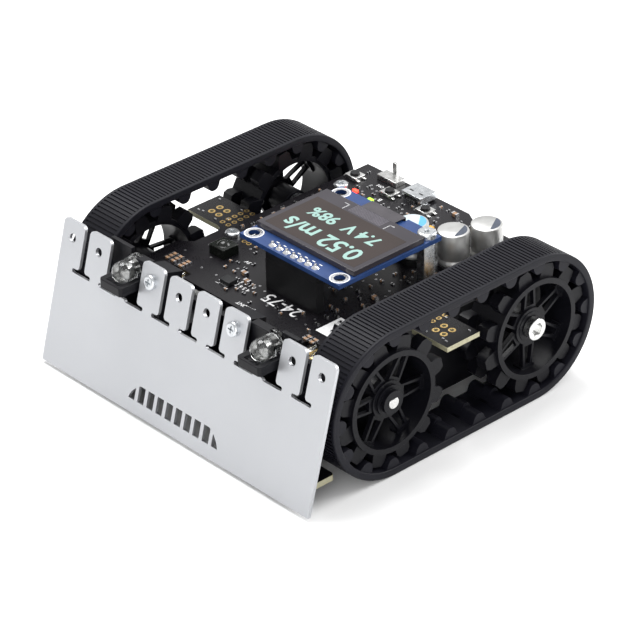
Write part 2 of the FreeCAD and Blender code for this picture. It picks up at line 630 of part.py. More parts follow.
def main_board():
    points = [(x, y, CHASSIS_TOP) for x, y in board_outline()]
    board = prism(points, (0, 0, BOARD_THICKNESS))
    corners = []
    for edge in board.Edges:
        a, b = edge.Vertexes[0].Point, edge.Vertexes[-1].Point
        upright = abs(a.z - b.z) > BOARD_THICKNESS / 2
        neck = abs(abs(a.x) - BOARD_NECK_HALF_X) < 0.01 and abs(a.y - WING_FRONT_Y) < 0.01
        if upright and neck:
            corners.append(edge)
    board = board.makeFillet(2.2, corners)
    tools = []
    low = CHASSIS_TOP - 1
    for sign in (-1, 1):
        x = sign * tab_x(LED_TABS[1])
        tools.append(box(x - 3.6, BOARD_FRONT_Y - 1, low, x + 3.6, BOARD_FRONT_Y + 2.6, low + 5))
        for i in (0, 1):
            for j in (0, 1):
                hole_x = sign * (WING_HALF_X - WING_HOLE_EDGE - WING_HOLE_PITCH * i)
                hole_y = WING_FRONT_Y + WING_HOLE_INSET + WING_HOLE_PITCH * j
                tools.append(rod((hole_x, hole_y, low), (0, 0, 1), 5, 0.55))
    for x, y in BOARD_SCREWS:
        tools.append(rod((x, y, low), (0, 0, 1), 5, BOARD_SCREW_D / 2 + 0.1))
    return cut(board, tools)


def pan_screw(p, direction, length, shank_r, head_r=HEAD_R, head_h=HEAD_H):
    """Pan head with a cross recess and a shank along a direction."""
    d = V(*direction)
    top = V(*p) - d * head_h
    head = Part.makeCylinder(head_r, head_h, top, d)
    rim = head_h * 0.45
    head = head.makeFillet(rim, [e for e in head.Edges if e.Closed
                                 and (e.CenterOfMass - top).Length < 0.05])
    shank = Part.makeCylinder(shank_r, length, V(*p), d)
    arm = Part.makeBox(1.9, 0.42, 0.8, V(-0.95, -0.21, 0))
    cross = arm.fuse(Part.makeBox(0.42, 1.9, 0.8, V(-0.21, -0.95, 0)))
    turn = FreeCAD.Rotation(V(0, 0, 1), d)
    cross.Placement = FreeCAD.Placement(top, turn)
    return fuse([head, shank]).cut(cross)


def board_screws():
    return [pan_screw((x, y, BOARD_TOP), (0, 0, -1), BOARD_THICKNESS + 4.4, BOARD_SCREW_D / 2 - 0.1)
            for x, y in BOARD_SCREWS]


# ------------------------------------------------------------------- blade
def blade():
    """Flat sheet with ten tab places, relief slots, holes and a grille."""
    half = BLADE_WIDTH / 2
    t = BLADE_THICKNESS

    def sheet(x0, x1, low, high, deep=0.0):
        plate = Part.makeBox(x1 - x0, t + 2 * deep, low - high, V(x0, -deep, -low))
        return plate

    plate = sheet(-half, half, BLADE_BELOW_HOLES, -BLADE_ABOVE_HOLES)
    tools = []
    for k in range(1, TABS):
        x = (tab_x(k) + tab_x(k + 1)) / 2
        tools.append(sheet(x - TAB_SLOT / 2, x + TAB_SLOT / 2, SLOT_DEPTH, -BLADE_ABOVE_HOLES - 1, 1))
        tools.append(sheet(x - RELIEF_LENGTH / 2 + RELIEF_HEIGHT / 2, x + RELIEF_LENGTH / 2 - RELIEF_HEIGHT / 2,
                           SLOT_DEPTH + RELIEF_HEIGHT / 2, SLOT_DEPTH - RELIEF_HEIGHT / 2, 1))
        top = -SLOT_DEPTH + RELIEF_HEIGHT / 2
        for end in (-1, 1):
            ex = x + end * (RELIEF_LENGTH / 2 - RELIEF_HEIGHT / 2)
            tools.append(rod((ex, -1, -SLOT_DEPTH), (0, 1, 0), t + 2, RELIEF_HEIGHT / 2))
            cx = x + end * (TAB_SLOT / 2 + TAB_FOOT_R)
            corner = Part.makeBox(TAB_FOOT_R, t + 2, TAB_FOOT_R, V(min(cx, cx - end * TAB_FOOT_R), -1, top))
            tools.append(corner.cut(rod((cx, -1, top + TAB_FOOT_R), (0, 1, 0), t + 2, TAB_FOOT_R)))
    for k in range(1, TABS + 1):
        x = tab_x(k)
        if k in LED_TABS:
            reach = TAB_PITCH / 2 + TAB_SLOT / 2
            tools.append(sheet(x - reach, x + reach, SLOT_DEPTH, -BLADE_ABOVE_HOLES - 1, 1))
        else:
            tools.append(rod((x, -1, 0), (0, 1, 0), t + 2, BLADE_HOLE_D / 2))
            edge = (TAB_PITCH - TAB_SLOT) / 2
            for side in (-1, 1):
                outer = BLADE_WIDTH / 2 if abs(x + side * edge) > half - 1.5 else abs(x + side * edge)
                cx = math.copysign(outer, x + side * edge)
                inward = -side
                r = TAB_CORNER_R
                square = Part.makeBox(r, t + 2, r, V(min(cx, cx + inward * r), -1, BLADE_ABOVE_HOLES - r))
                disc = rod((cx + inward * r, -1, BLADE_ABOVE_HOLES - r), (0, 1, 0), t + 2, r)
                tools.append(square.cut(disc))
    # the grille: upright slots whose tops follow a shallow arc
    span = (GRILLE_SLOTS - 1) / 2
    arch_r = (GRILLE_PITCH * (span + 0.75)) ** 2 / (2 * 7.5)
    slots = []
    for k in range(GRILLE_SLOTS):
        x = (k - span) * GRILLE_PITCH
        slots.append(sheet(x - GRILLE_WIDTH / 2, x + GRILLE_WIDTH / 2, GRILLE_BASE,
                           GRILLE_BASE - GRILLE_HEIGHT, 1))
    edge_r = 7.0
    reach = GRILLE_PITCH * (span + 0.42)
    arch = fuse([rod((side * (reach - edge_r), -2, -GRILLE_BASE - edge_r + GRILLE_HEIGHT + 0.6), (0, 1, 0),
                     t + 4, edge_r) for side in (-1, 1)]
                + [Part.makeBox(2 * (reach - edge_r), t + 4, GRILLE_HEIGHT + 4,
                                V(-(reach - edge_r), -2, -GRILLE_BASE - 1))])
    tools += [slot.common(arch) for slot in slots]
    plate = plate.cut(tools)
    # stand the sheet on its tilt, front face on the hole line
    plate.rotate(V(0, 0, 0), V(1, 0, 0), -BLADE_TILT_DEG)
    plate.translate(V(0, HOLE_LINE_Y, BLADE_HOLE_Z))
    return plate


def blade_screws():
    return [pan_screw(blade_point(tab_x(k), 0), BLADE_IN, BLADE_SCREW_LENGTH, BLADE_SCREW_D / 2)
            for k in SCREW_TABS]


def blade_nuts():
    """Nuts on the back faces of the posts."""
    nuts = []
    for k in SCREW_TABS:
        nut = hexagon((0, 0, 0), (0, 1, 0), BLADE_NUT_FLATS, BLADE_NUT_H)
        nut.rotate(V(0, 0, 0), V(1, 0, 0), -BLADE_TILT_DEG)
        nut.translate(V(*blade_point(tab_x(k), 0, -BLADE_THICKNESS - POST_DEPTH)))
        bore = rod(blade_point(tab_x(k), 0, -BLADE_THICKNESS), BLADE_IN, POST_DEPTH + 4, BLADE_SCREW_D / 2)
        nuts.append(cut(nut, [bore]))
    return nuts


# ----------------------------------------------------------- led holders
def led_x(k):
    """Axis of the emitter in the gap left by tab k."""
    return tab_x(k) + LED_SHIFT


def led_holder(k):
    """Tray in front of the blade, neck through the gap, cradle, block and leaf behind it."""
    x = led_x(k)
    outer = -1 if x < 0 else 1
    half = HOLDER_W / 2
    tray_low, tray_top = LED_Z - LED_R - 1.1, LED_Z - LED_R + 1.3
    front = LED_TIP_Y - 1.6
    neck_y = HOLE_LINE_Y + 0.6
    c = 0.7
    tray_points = [(x - half, neck_y, tray_low), (x - half, front + c, tray_low), (x - half + c, front, tray_low),
                   (x + half - c, front, tray_low), (x + half, front + c, tray_low), (x + half, neck_y, tray_low)]
    tray = prism(tray_points, (0, 0, tray_top - tray_low))
    cradle = box(x - half, neck_y, tray_low, x + half, HOLDER_BACK_Y, LED_Z - 0.2)
    inner_x = sorted((x - outer * 0.9, outer * BLOCK_INNER_X))
    block_front = blade_back_y(LED_Z + BLOCK_RISE) + BLADE_CLEARANCE
    block = box(inner_x[0], block_front, tray_low, inner_x[1], HOLDER_BACK_Y, LED_Z + BLOCK_RISE)
    outer_x = sorted((x + outer * 2.0, outer * LEAF_OUTER_X))
    leaf = box(outer_x[0], HOLDER_BACK_Y - 1.2, tray_low, outer_x[1], HOLDER_BACK_Y, LED_Z + 3.9)
    body = fuse([tray, cradle, block, leaf])
    bed = rod((x, front + 0.9, LED_Z), (0, 1, 0), 40, LED_R + 0.05)
    flange = rod((x, LED_TIP_Y + LED_BODY - 1.2, LED_Z), (0, 1, 0), 1.3, LED_R + 0.55)
    return cut(body, [bed, flange])


def infrared_leds():
    """Clear lamps lying in the holders, legs bent down behind them and back along the board."""
    lamps = []
    for k in LED_TABS:
        x = led_x(k)
        dome = Part.makeSphere(LED_R, V(x, LED_TIP_Y + LED_R, LED_Z))
        tube = rod((x, LED_TIP_Y + LED_R, LED_Z), (0, 1, 0), LED_BODY - LED_R, LED_R)
        collar = rod((x, LED_TIP_Y + LED_BODY - 1.0, LED_Z), (0, 1, 0), 1.0, LED_R + 0.4)
        parts = [dome, tube, collar]
        for leg in (-1.27, 1.27):
            lx = x + leg
            y0 = LED_TIP_Y + LED_BODY
            y1 = HOLDER_BACK_Y + 0.8
            y2 = BOARD_FRONT_Y + 1.5
            parts.append(box(lx - 0.25, y0 - 0.5, LED_Z - 0.25, lx + 0.25, y1 + 0.25, LED_Z + 0.25))
            parts.append(box(lx - 0.25, y1 - 0.25, BOARD_TOP, lx + 0.25, y1 + 0.25, LED_Z + 0.25))
            parts.append(box(lx - 0.25, y1 - 0.25, BOARD_TOP, lx + 0.25, y2, BOARD_TOP + 0.5))
        lamps.append(fuse(parts))
    return lamps


# --------------------------------------------------------- sensor board
def sensor_board():
    y1, z1 = SENSOR_REAR_Y, SENSOR_Z + SENSOR_T
    board = box(-SENSOR_HALF_X, y1 - SENSOR_DEPTH, SENSOR_Z, SENSOR_HALF_X, y1, z1)
    upright = [e for e in board.Edges if abs(e.Vertexes[0].Point.z - e.Vertexes[-1].Point.z) > 1]
    y2, y3 = SENSOR_MIDDLE_Y
    bay = box(-SENSOR_ARM_X, y1 - SENSOR_DEPTH - 1, SENSOR_Z - 1, SENSOR_ARM_X, y2, z1 + 1)
    middle = box(-SENSOR_ARM_X - 5, y1 - 1, SENSOR_Z, SENSOR_ARM_X + 5, y3, z1)
    tongue = box(-TONGUE_HALF_X, y3 - 1, SENSOR_Z, TONGUE_HALF_X, TONGUE_REAR_Y, z1)
    return fuse([board.makeFillet(1.0, upright), middle, tongue]).cut(bay).removeSplitter()


LINE_SENSOR_XS = (-40.0, -18.0, 0.0, 18.0, 40.0)
LINE_SENSOR_YS = {40.0: SENSOR_REAR_Y - SENSOR_DEPTH / 2}


def line_sensors():
    """Five reflectance sensors that look down at the line."""
    z1 = SENSOR_Z
    sensors = []
    for x in LINE_SENSOR_XS:
        y = LINE_SENSOR_YS.get(abs(x), sum(SENSOR_MIDDLE_Y) / 2)
        body = box(x - 1.7, y - 1.4, z1 - 1.7, x + 1.7, y + 1.4, z1)
        windows = [rod((x + dx, y, z1 - 1.8), (0, 0, 1), 0.6, 0.55) for dx in (-0.85, 0.85)]
        sensors.append(cut(body, windows))
    return sensors


def sensor_header():
    """Pin header that joins the sensor board's tongue to the main board."""
    z0 = SENSOR_Z + SENSOR_T
    half = HEADER_COLUMNS * PIN_PITCH / 2 - 0.6
    strip = box(-half, HEADER_Y - 1.2, z0, half, HEADER_Y + PIN_PITCH * (HEADER_ROWS - 1) + 1.2, z0 + PIN_PITCH)
    pins = []
    for i in range(HEADER_COLUMNS):
        for j in range(HEADER_ROWS):
            x = (i - (HEADER_COLUMNS - 1) / 2) * PIN_PITCH
            y = HEADER_Y + j * PIN_PITCH
            pins.append(box(x - 0.3, y - 0.3, z0, x + 0.3, y + 0.3, CHASSIS_TOP))
    return fuse([strip] + pins)


# --------------------------------------------------------------- display
def display_corner(i, j):
    x = DISPLAY_X + (i - 0.5) * DISPLAY_HOLE_X
    y = DISPLAY_FRONT_Y + (DISPLAY_D - DISPLAY_HOLE_Y) / 2 + j * DISPLAY_HOLE_Y
    return x, y


def display_board():
    x0 = DISPLAY_X - DISPLAY_W / 2
    y0 = DISPLAY_FRONT_Y
    board = box(x0, y0, DISPLAY_BOTTOM, x0 + DISPLAY_W, y0 + DISPLAY_D, DISPLAY_TOP)
    tools = []
    for i in (0, 1):
        for j in (0, 1):
            x, y = display_corner(i, j)
            tools.append(rod((x, y, DISPLAY_BOTTOM - 1), (0, 0, 1), 4, DISPLAY_HOLE_D / 2))
    rear = y0 + DISPLAY_D
    tools.append(box(DISPLAY_X - 6.2, rear - 1.4, DISPLAY_BOTTOM - 1, DISPLAY_X + 6.2, rear + 1, DISPLAY_TOP + 1))
    for k in range(PINS):
        x = DISPLAY_X + (k - (PINS - 1) / 2) * PIN_PITCH
        tools.append(box(x - 0.32, y0 + 1.7 - 0.32, DISPLAY_BOTTOM - 1, x + 0.32, y0 + 1.7 + 0.32, DISPLAY_TOP + 1))
    return cut(board, tools)


def display_glass():
    x0 = DISPLAY_X - GLASS_W / 2
    y0 = DISPLAY_FRONT_Y + GLASS_FRONT
    return box(x0, y0, DISPLAY_TOP, x0 + GLASS_W, y0 + GLASS_D, DISPLAY_TOP + GLASS_T)


def display_flex():
    """Ribbon that folds from the glass round the board's rear notch."""
    y0 = DISPLAY_FRONT_Y + GLASS_FRONT + GLASS_D
    y1 = DISPLAY_FRONT_Y + DISPLAY_D
    low, high = DISPLAY_TOP, DISPLAY_TOP + 0.7
    x0, x1 = DISPLAY_X - 5.9, DISPLAY_X + 5.9
    flat = box(x0, y0, high - 0.15, x1, y1 - 0.55, high)
    drop = box(x0, y1 - 0.7, DISPLAY_BOTTOM - 0.6, x1, y1 - 0.55, high)
    under = box(x0, y1 - 7.0, DISPLAY_BOTTOM - 0.6, x1, y1 - 0.55, DISPLAY_BOTTOM - 0.45)
    return fuse([flat, drop, under])


def display_pins():
    y = DISPLAY_FRONT_Y + 1.7
    pins = []
    for k in range(PINS):
        x = DISPLAY_X + (k - (PINS - 1) / 2) * PIN_PITCH
        pins.append(box(x - 0.3, y - 0.3, BOARD_TOP + 3.2, x + 0.3, y + 0.3, DISPLAY_TOP + 1.0))
    half = PINS * PIN_PITCH / 2
    strip = box(DISPLAY_X - half, y - 1.25, BOARD_TOP + SOCKET_H, DISPLAY_X + half, y + 1.25, DISPLAY_BOTTOM)
    return fuse([strip] + pins)


def display_socket():
    y = DISPLAY_FRONT_Y + 1.7
    half = PINS * PIN_PITCH / 2 + 0.2
    body = box(DISPLAY_X - half, y - SOCKET_W / 2, BOARD_TOP, DISPLAY_X + half, y + SOCKET_W / 2, BOARD_TOP + SOCKET_H)
    tools = []
    for k in range(PINS):
        x = DISPLAY_X + (k - (PINS - 1) / 2) * PIN_PITCH
        tools.append(box(x - 0.35, y - 0.35, BOARD_TOP + 3.0, x + 0.35, y + 0.35, BOARD_TOP + SOCKET_H + 1))
    return cut(body, tools)


def display_standoff():
    x, y = display_corner(1, 1)
    post = hexagon((x, y, BOARD_TOP), (0, 0, 1), STANDOFF_FLATS, DISPLAY_LIFT)
    return cut(post, [rod((x, y, DISPLAY_BOTTOM - 5), (0, 0, 1), 6, 1.25)])


def display_screw():
    x, y = display_corner(1, 1)
    return pan_screw((x, y, DISPLAY_TOP), (0, 0, -1), 4.6, 1.25, 2.4, 1.5)


# ------------------------------------------------------- controls and parts
def button_bodies():
    bodies = []
    for x in BUTTON_XS:
        h, d = BUTTON_BODY / 2, BUTTON_BODY_D / 2
        case = box(x - h, BUTTON_Y - d, BOARD_TOP, x + h, BUTTON_Y + d, BOARD_TOP + BUTTON_BODY_H)
        well = rod((x, BUTTON_Y, BOARD_TOP + BUTTON_BODY_H - 0.7), (0, 0, 1), 2, BUTTON_CAP_D / 2 + 0.08)
        legs = [box(x + s * (h + 0.35) - 0.35, BUTTON_Y + e * 1.1 - 0.35, BOARD_TOP,
                    x + s * (h + 0.35) + 0.35, BUTTON_Y + e * 1.1 + 0.35, BOARD_TOP + 0.5)
                for s in (-1, 1) for e in (-1, 1)]
        bodies.append(cut(fuse([case] + legs), [well]))
    return bodies


def button_cap(x):
    low = BOARD_TOP + BUTTON_BODY_H - 0.7 + BUTTON_TRAVEL + 0.05
    top = BOARD_TOP + BUTTON_BODY_H + BUTTON_CAP_H
    return rod((x, BUTTON_Y, low), (0, 0, 1), top - low, BUTTON_CAP_D / 2)


SWITCH_Y1 = BOARD_REAR_Y - 0.6


def switch_body():
    x0, x1 = SWITCH_X - SWITCH_W / 2, SWITCH_X + SWITCH_W / 2
    body = box(x0, SWITCH_Y1 - SWITCH_D, BOARD_TOP, x1, SWITCH_Y1, BOARD_TOP + SWITCH_H)
    channel = box(SWITCH_X - SWITCH_NUB / 2 - SWITCH_TRAVEL / 2 - 0.1, SWITCH_Y1 - 1.4, BOARD_TOP + 0.35,
                  SWITCH_X + SWITCH_NUB / 2 + SWITCH_TRAVEL / 2 + 0.1, SWITCH_Y1 + 1, BOARD_TOP + SWITCH_H - 0.35)
    return cut(body, [channel])


def switch_slider():
    """Nub at the back of the slide switch, with a lever standing up from it."""
    x = SWITCH_X - SWITCH_TRAVEL / 2
    half = SWITCH_NUB / 2
    nub = box(x - half, SWITCH_Y1 - 1.2, BOARD_TOP + 0.42, x + half,
              BOARD_REAR_Y + SLIDER_PROUD, BOARD_TOP + SWITCH_H - 0.42)
    lever = box(x - half, SWITCH_Y1 + 0.2, BOARD_TOP + 0.42, x + half, SWITCH_Y1 + 1.0, BOARD_TOP + SWITCH_LEVER_H)
    return nub.fuse(lever).removeSplitter()


def usb_socket():
    """Folded steel shell, open at the back, with its contact tongue."""
    x0, x1 = USB_X - USB_W / 2, USB_X + USB_W / 2
    y1 = USB_REAR_Y
    y0 = y1 - USB_D
    z0, z1 = BOARD_TOP, BOARD_TOP + USB_H
    c = 0.8
    points = [(x0 + c, y0, z0), (x1 - c, y0, z0), (x1, y0, z0 + c), (x1, y0, z1), (x0, y0, z1), (x0, y0, z0 + c)]
    shell = prism(points, (0, USB_D, 0))
    w = 0.3
    inner = [(x0 + c + w / 2, y0 + 0.8, z0 + w), (x1 - c - w / 2, y0 + 0.8, z0 + w), (x1 - w, y0 + 0.8, z0 + c + w / 2),
             (x1 - w, y0 + 0.8, z1 - w), (x0 + w, y0 + 0.8, z1 - w), (x0 + w, y0 + 0.8, z0 + c + w / 2)]
    mouth = prism(inner, (0, USB_D, 0))
    tongue = box(USB_X - 1.9, y0 + 0.4, z0 + 1.35, USB_X + 1.9, y1 - 0.7, z0 + 1.85)
    return fuse([shell.cut(mouth), tongue])


def capacitor_cans():
    cans = []
    for x, y in CAN_PLACES:
        can = rod((x, y, BOARD_TOP + CAN_BASE_H), (0, 0, 1), CAN_H - CAN_BASE_H, CAN_D / 2)
        top = [e for e in can.Edges if e.Closed and e.CenterOfMass.z > BOARD_TOP + CAN_H - 0.1]
        can = can.makeFillet(0.5, top)
        cans.append(can)
    return cans


def capacitor_bases():
    bases = []
    h = CAN_BASE / 2
    for x, y in CAN_PLACES:
        c = 2.0
        outline = [(x - h, y - h), (x + h - c, y - h), (x + h, y - h + c), (x + h, y + h - c), (x + h - c, y + h), (x - h, y + h)]
        bases.append(prism([(a, b, BOARD_TOP) for a, b in outline], (0, 0, CAN_BASE_H)))
    return bases


# name, centre x, centre y, size x, size y, height
CHIPS = ((-11.9, -17.9, 3.4, 2.8, 1.1),
         (9.5, 38.3, 5.2, 4.4, 1.1), (14.6, 33.2, 4.2, 4.2, 0.9), (2.4, 33.6, 3.2, 3.2, 0.9),
         (-2.0, 8.0, 9.0, 9.0, 1.1), (26.4, 9.0, 4.4, 6.2, 1.4), (-2.4, 28.4, 4.6, 3.4, 1.1))


def chips():
    return [box(x - a / 2, y - b / 2, BOARD_TOP, x + a / 2, y + b / 2, BOARD_TOP + h) for x, y, a, b, h in CHIPS]


PROXIMITY_PLACES = ((-23.6, -9.2), (29.4, -6.8))
PROXIMITY_SIZE = (5.4, 5.0, 2.6)


def proximity_sensors():
    """Infrared receivers on both sides, each with a domed window."""
    a, b, h = PROXIMITY_SIZE
    sensors = []
    for x, y in PROXIMITY_PLACES:
        case = box(x - a / 2, y - b / 2, BOARD_TOP, x + a / 2, y + b / 2, BOARD_TOP + h)
        dome = Part.makeSphere(b * 0.42, V(x, y, BOARD_TOP + h - b * 0.42 + 0.9))
        case = case.fuse(dome.common(box(x - a, y - b, BOARD_TOP + 0.2, x + a, y + b, BOARD_TOP + h + 3)))
        sensors.append(case.removeSplitter())
    return sensors


RESISTOR_ARRAYS = ((-30.2, -19.6, 2, 3), (-25.9, -19.9, 1, 3), (22.0, -21.8, 2, 2))
RESISTOR_SIZE = (1.7, 0.8, 0.5)


def resistors():
    """Tan blocks of chip resistors beside the emitters."""
    a, b, h = RESISTOR_SIZE
    blocks = []
    for x, y, columns, rows in RESISTOR_ARRAYS:
        for i in range(columns):
            for j in range(rows):
                cx = x + (i - (columns - 1) / 2) * (a + 0.5)
                cy = y + (j - (rows - 1) / 2) * (b + 0.45)
                blocks.append(box(cx - a / 2, cy - b / 2, BOARD_TOP, cx + a / 2, cy + b / 2, BOARD_TOP + h))
    return blocks


SMALL_CAPACITORS = ((-5.2, -8.8), (-0.2, -8.8), (4.8, -8.7), (-12.0, -12.6), (-8.6, -14.8), (18.6, 2.0),
                    (26.0, -3.4), (27.8, 18.0), (-21.0, 6.0), (-21.0, 9.0), (-16.8, 22.0), (4.0, 24.0),
                    (-28.6, 12.0), (-28.6, 15.2), (-26.0, 28.0), (14.0, 43.8), (18.0, 43.8), (3.0, 44.2))
SMALL_CAPACITOR_SIZE = (1.8, 1.1, 0.9)


def small_capacitors():
    """Ceramic capacitors, each with its two tinned ends."""
    a, b, h = SMALL_CAPACITOR_SIZE
    return [box(x - a / 2, y - b / 2, BOARD_TOP, x + a / 2, y + b / 2, BOARD_TOP + h)
            for x, y in SMALL_CAPACITORS]


LAMP_PLACES = {"power_led": (-23.8, 35.1), "user_led": (-17.6, 34.6)}


def indicator(x, y):
    return box(x - 0.8, y - 0.4, BOARD_TOP, x + 0.8, y + 0.4, BOARD_TOP + 0.6)


def main():
    os.makedirs("parts", exist_ok=True)
    save("chassis_body", chassis_body())
    save("battery_cover", battery_cover())
    save("power_cells", *power_cells())
    save("cell_contacts", *cell_contacts())
    save("main_board", main_board())
    save("board_screws", *board_screws())
    save("blade", blade())
    save("blade_screws", *blade_screws())
    save("blade_nuts", *blade_nuts())
    save("led_holder_left", led_holder(LED_TABS[0]))
    save("led_holder_right", led_holder(LED_TABS[1]))
    save("infrared_leds", *infrared_leds())
    save("sensor_board", sensor_board())
    save("line_sensors", *line_sensors())
    save("sensor_header", sensor_header())
    save("proximity_sensors", *proximity_sensors())
    save("display_board", display_board())
    save("display_glass", display_glass())
    save("display_flex", display_flex())
    save("display_pins", display_pins())
    save("display_socket", display_socket())
    save("display_standoff", display_standoff())
    save("display_screw", display_screw())
    save("button_bodies", *button_bodies())
    for letter, x in zip("abc", BUTTON_XS):
        save("button_cap_" + letter, button_cap(x))
    save("switch_body", switch_body())
    save("switch_slider", switch_slider())
    save("usb_socket", usb_socket())
    save("capacitor_cans", *capacitor_cans())
    save("capacitor_bases", *capacitor_bases())
    save("chips", *chips())
    save("resistors", *resistors())
    save("small_capacitors", *small_capacitors())
    for name, place in LAMP_PLACES.items():
        save(name, indicator(*place))
    belt, driver, idler = track(), drive_sprocket(), idler_sprocket()
    for side, sign in SIDES:
        save("track_" + side, for_side(sign, belt))
        save("drive_sprocket_" + side, for_side(sign, driver))
        save("idler_sprocket_" + side, for_side(sign, idler))
        save("motor_can_" + side, for_side(sign, motor_can()))
        save("gearbox_" + side, for_side(sign, gearbox()))
        save("output_shaft_" + side, for_side(sign, output_shaft()))
        save("encoder_disc_" + side, for_side(sign, encoder_disc()))
        save("shoulder_bolt_" + side, for_side(sign, shoulder_bolt()))
    save("idler_washers", *[for_side(s, idler_washer()) for _, s in SIDES])
    save("idler_nuts", *[for_side(s, idler_nut()) for _, s in SIDES])


main()
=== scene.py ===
"""Looks of the tracked line follower: rubber tracks, spoked wheels, circuit deck, display and blade."""
import math
import random

import bmesh
import bpy
from mathutils import Matrix, Vector


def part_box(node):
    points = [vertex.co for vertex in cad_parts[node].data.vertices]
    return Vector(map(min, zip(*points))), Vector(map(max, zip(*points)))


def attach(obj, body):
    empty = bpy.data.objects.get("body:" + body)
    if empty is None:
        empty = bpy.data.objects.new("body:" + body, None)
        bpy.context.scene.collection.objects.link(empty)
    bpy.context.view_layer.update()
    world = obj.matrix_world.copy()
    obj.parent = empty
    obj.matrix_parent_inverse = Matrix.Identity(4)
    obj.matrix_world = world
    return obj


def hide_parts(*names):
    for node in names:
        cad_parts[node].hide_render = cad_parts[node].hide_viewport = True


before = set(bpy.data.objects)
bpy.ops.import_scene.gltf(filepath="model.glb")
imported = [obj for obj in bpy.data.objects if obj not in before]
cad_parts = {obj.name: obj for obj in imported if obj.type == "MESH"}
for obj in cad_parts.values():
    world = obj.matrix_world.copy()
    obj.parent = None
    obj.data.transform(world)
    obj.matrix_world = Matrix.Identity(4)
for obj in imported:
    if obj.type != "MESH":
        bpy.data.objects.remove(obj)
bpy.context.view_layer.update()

MM = 0.001
ROOT = "chassis"
SIDES = (("left", -1), ("right", 1))
LUGS = 22                    # lugs on each belt
RIBS_PER_LUG = 9
WING_HOLE_X = 41.8           # outer column of plated holes in each wing
WING_HOLE_Y = 2.5            # front row of those holes
WING_HOLE_PITCH = 2.7
HEADER_PAD_X = (35.7, 33.5)  # two columns of pads beside each wing
HEADER_PAD_Y = 0.8           # front pad of each column
HEADER_PAD_PITCH = 2.0
HEADER_PADS = 5


# ------------------------------------------------------------ node helpers
def put(tree, kind, values=None, **settings):
    """Add a node, set its settings, and give each named input a value or a link."""
    node = tree.nodes.new(kind)
    for key, value in settings.items():
        setattr(node, key, value)
    for key, value in (values or {}).items():
        socket = node.inputs[key]
        if isinstance(value, bpy.types.NodeSocket):
            tree.links.new(value, socket)
        else:
            socket.default_value = value
    return node


def group_tree(name, kind, inputs, outputs):
    """A node tree with named sockets; returns it with its input and output nodes."""
    tree = bpy.data.node_groups.new(name, kind)
    for label, socket_type, value in inputs:
        socket = tree.interface.new_socket(label, in_out="INPUT", socket_type=socket_type)
        if value is not None:
            socket.default_value = value
    for label, socket_type in outputs:
        tree.interface.new_socket(label, in_out="OUTPUT", socket_type=socket_type)
    return tree, tree.nodes.new("NodeGroupInput").outputs, tree.nodes.new("NodeGroupOutput").inputs


# ---------------------------------------------------------------- materials
def surface_group():
    """Slow colour and gloss changes with a fine grain: the base of every finish here."""
    tree, given, out = group_tree(
        "surface_finish", "ShaderNodeTree",
        [("Vector", "NodeSocketVector", None), ("Light", "NodeSocketColor", (0.5, 0.5, 0.5, 1)),
         ("Dark", "NodeSocketColor", (0.4, 0.4, 0.4, 1)), ("Patches", "NodeSocketFloat", 60.0),
         ("Grain", "NodeSocketFloat", 4000.0), ("Smoothest", "NodeSocketFloat", 0.4),
         ("Roughest", "NodeSocketFloat", 0.6)],
        [("Color", "NodeSocketColor"), ("Roughness", "NodeSocketFloat"), ("Height", "NodeSocketFloat")])
    patches = put(tree, "ShaderNodeTexNoise",
                  {"Vector": given["Vector"], "Scale": given["Patches"], "Detail": 4.0})
    grain = put(tree, "ShaderNodeTexNoise",
                {"Vector": given["Vector"], "Scale": given["Grain"], "Detail": 2.0})
    spread = put(tree, "ShaderNodeMapRange",
                 {"Value": patches.outputs["Fac"], "From Min": 0.3, "From Max": 0.7})
    tone = put(tree, "ShaderNodeMix", data_type="RGBA")
    tree.links.new(spread.outputs["Result"], tone.inputs[0])
    tree.links.new(given["Dark"], tone.inputs[6])
    tree.links.new(given["Light"], tone.inputs[7])
    both = put(tree, "ShaderNodeMath", {0: patches.outputs["Fac"], 1: grain.outputs["Fac"]}, operation="ADD")
    gloss = put(tree, "ShaderNodeMapRange", {"Value": both.outputs[0], "From Min": 0.6, "From Max": 1.4,
                                             "To Min": given["Smoothest"], "To Max": given["Roughest"]})
    tree.links.new(tone.outputs[2], out["Color"])
    tree.links.new(gloss.outputs["Result"], out["Roughness"])
    tree.links.new(grain.outputs["Fac"], out["Height"])
    return tree


def brushed_group():
    """Fine lines along one axis, as rolling, brushing or turning leaves on metal."""
    tree, given, out = group_tree(
        "brushed_lines", "ShaderNodeTree",
        [("Vector", "NodeSocketVector", None), ("Stretch", "NodeSocketVector", (40.0, 3000.0, 3000.0))],
        [("Lines", "NodeSocketFloat")])
    scaled = put(tree, "ShaderNodeVectorMath", {0: given["Vector"], 1: given["Stretch"]},
                 operation="MULTIPLY")
    noise = put(tree, "ShaderNodeTexNoise", {"Vector": scaled.outputs[0], "Scale": 1.0, "Detail": 3.0})
    tree.links.new(noise.outputs["Fac"], out["Lines"])
    return tree


SOCKET_NAMES = {"Specular_IOR_Level": "Specular IOR Level"}
SURFACE = surface_group()
BRUSHED = brushed_group()


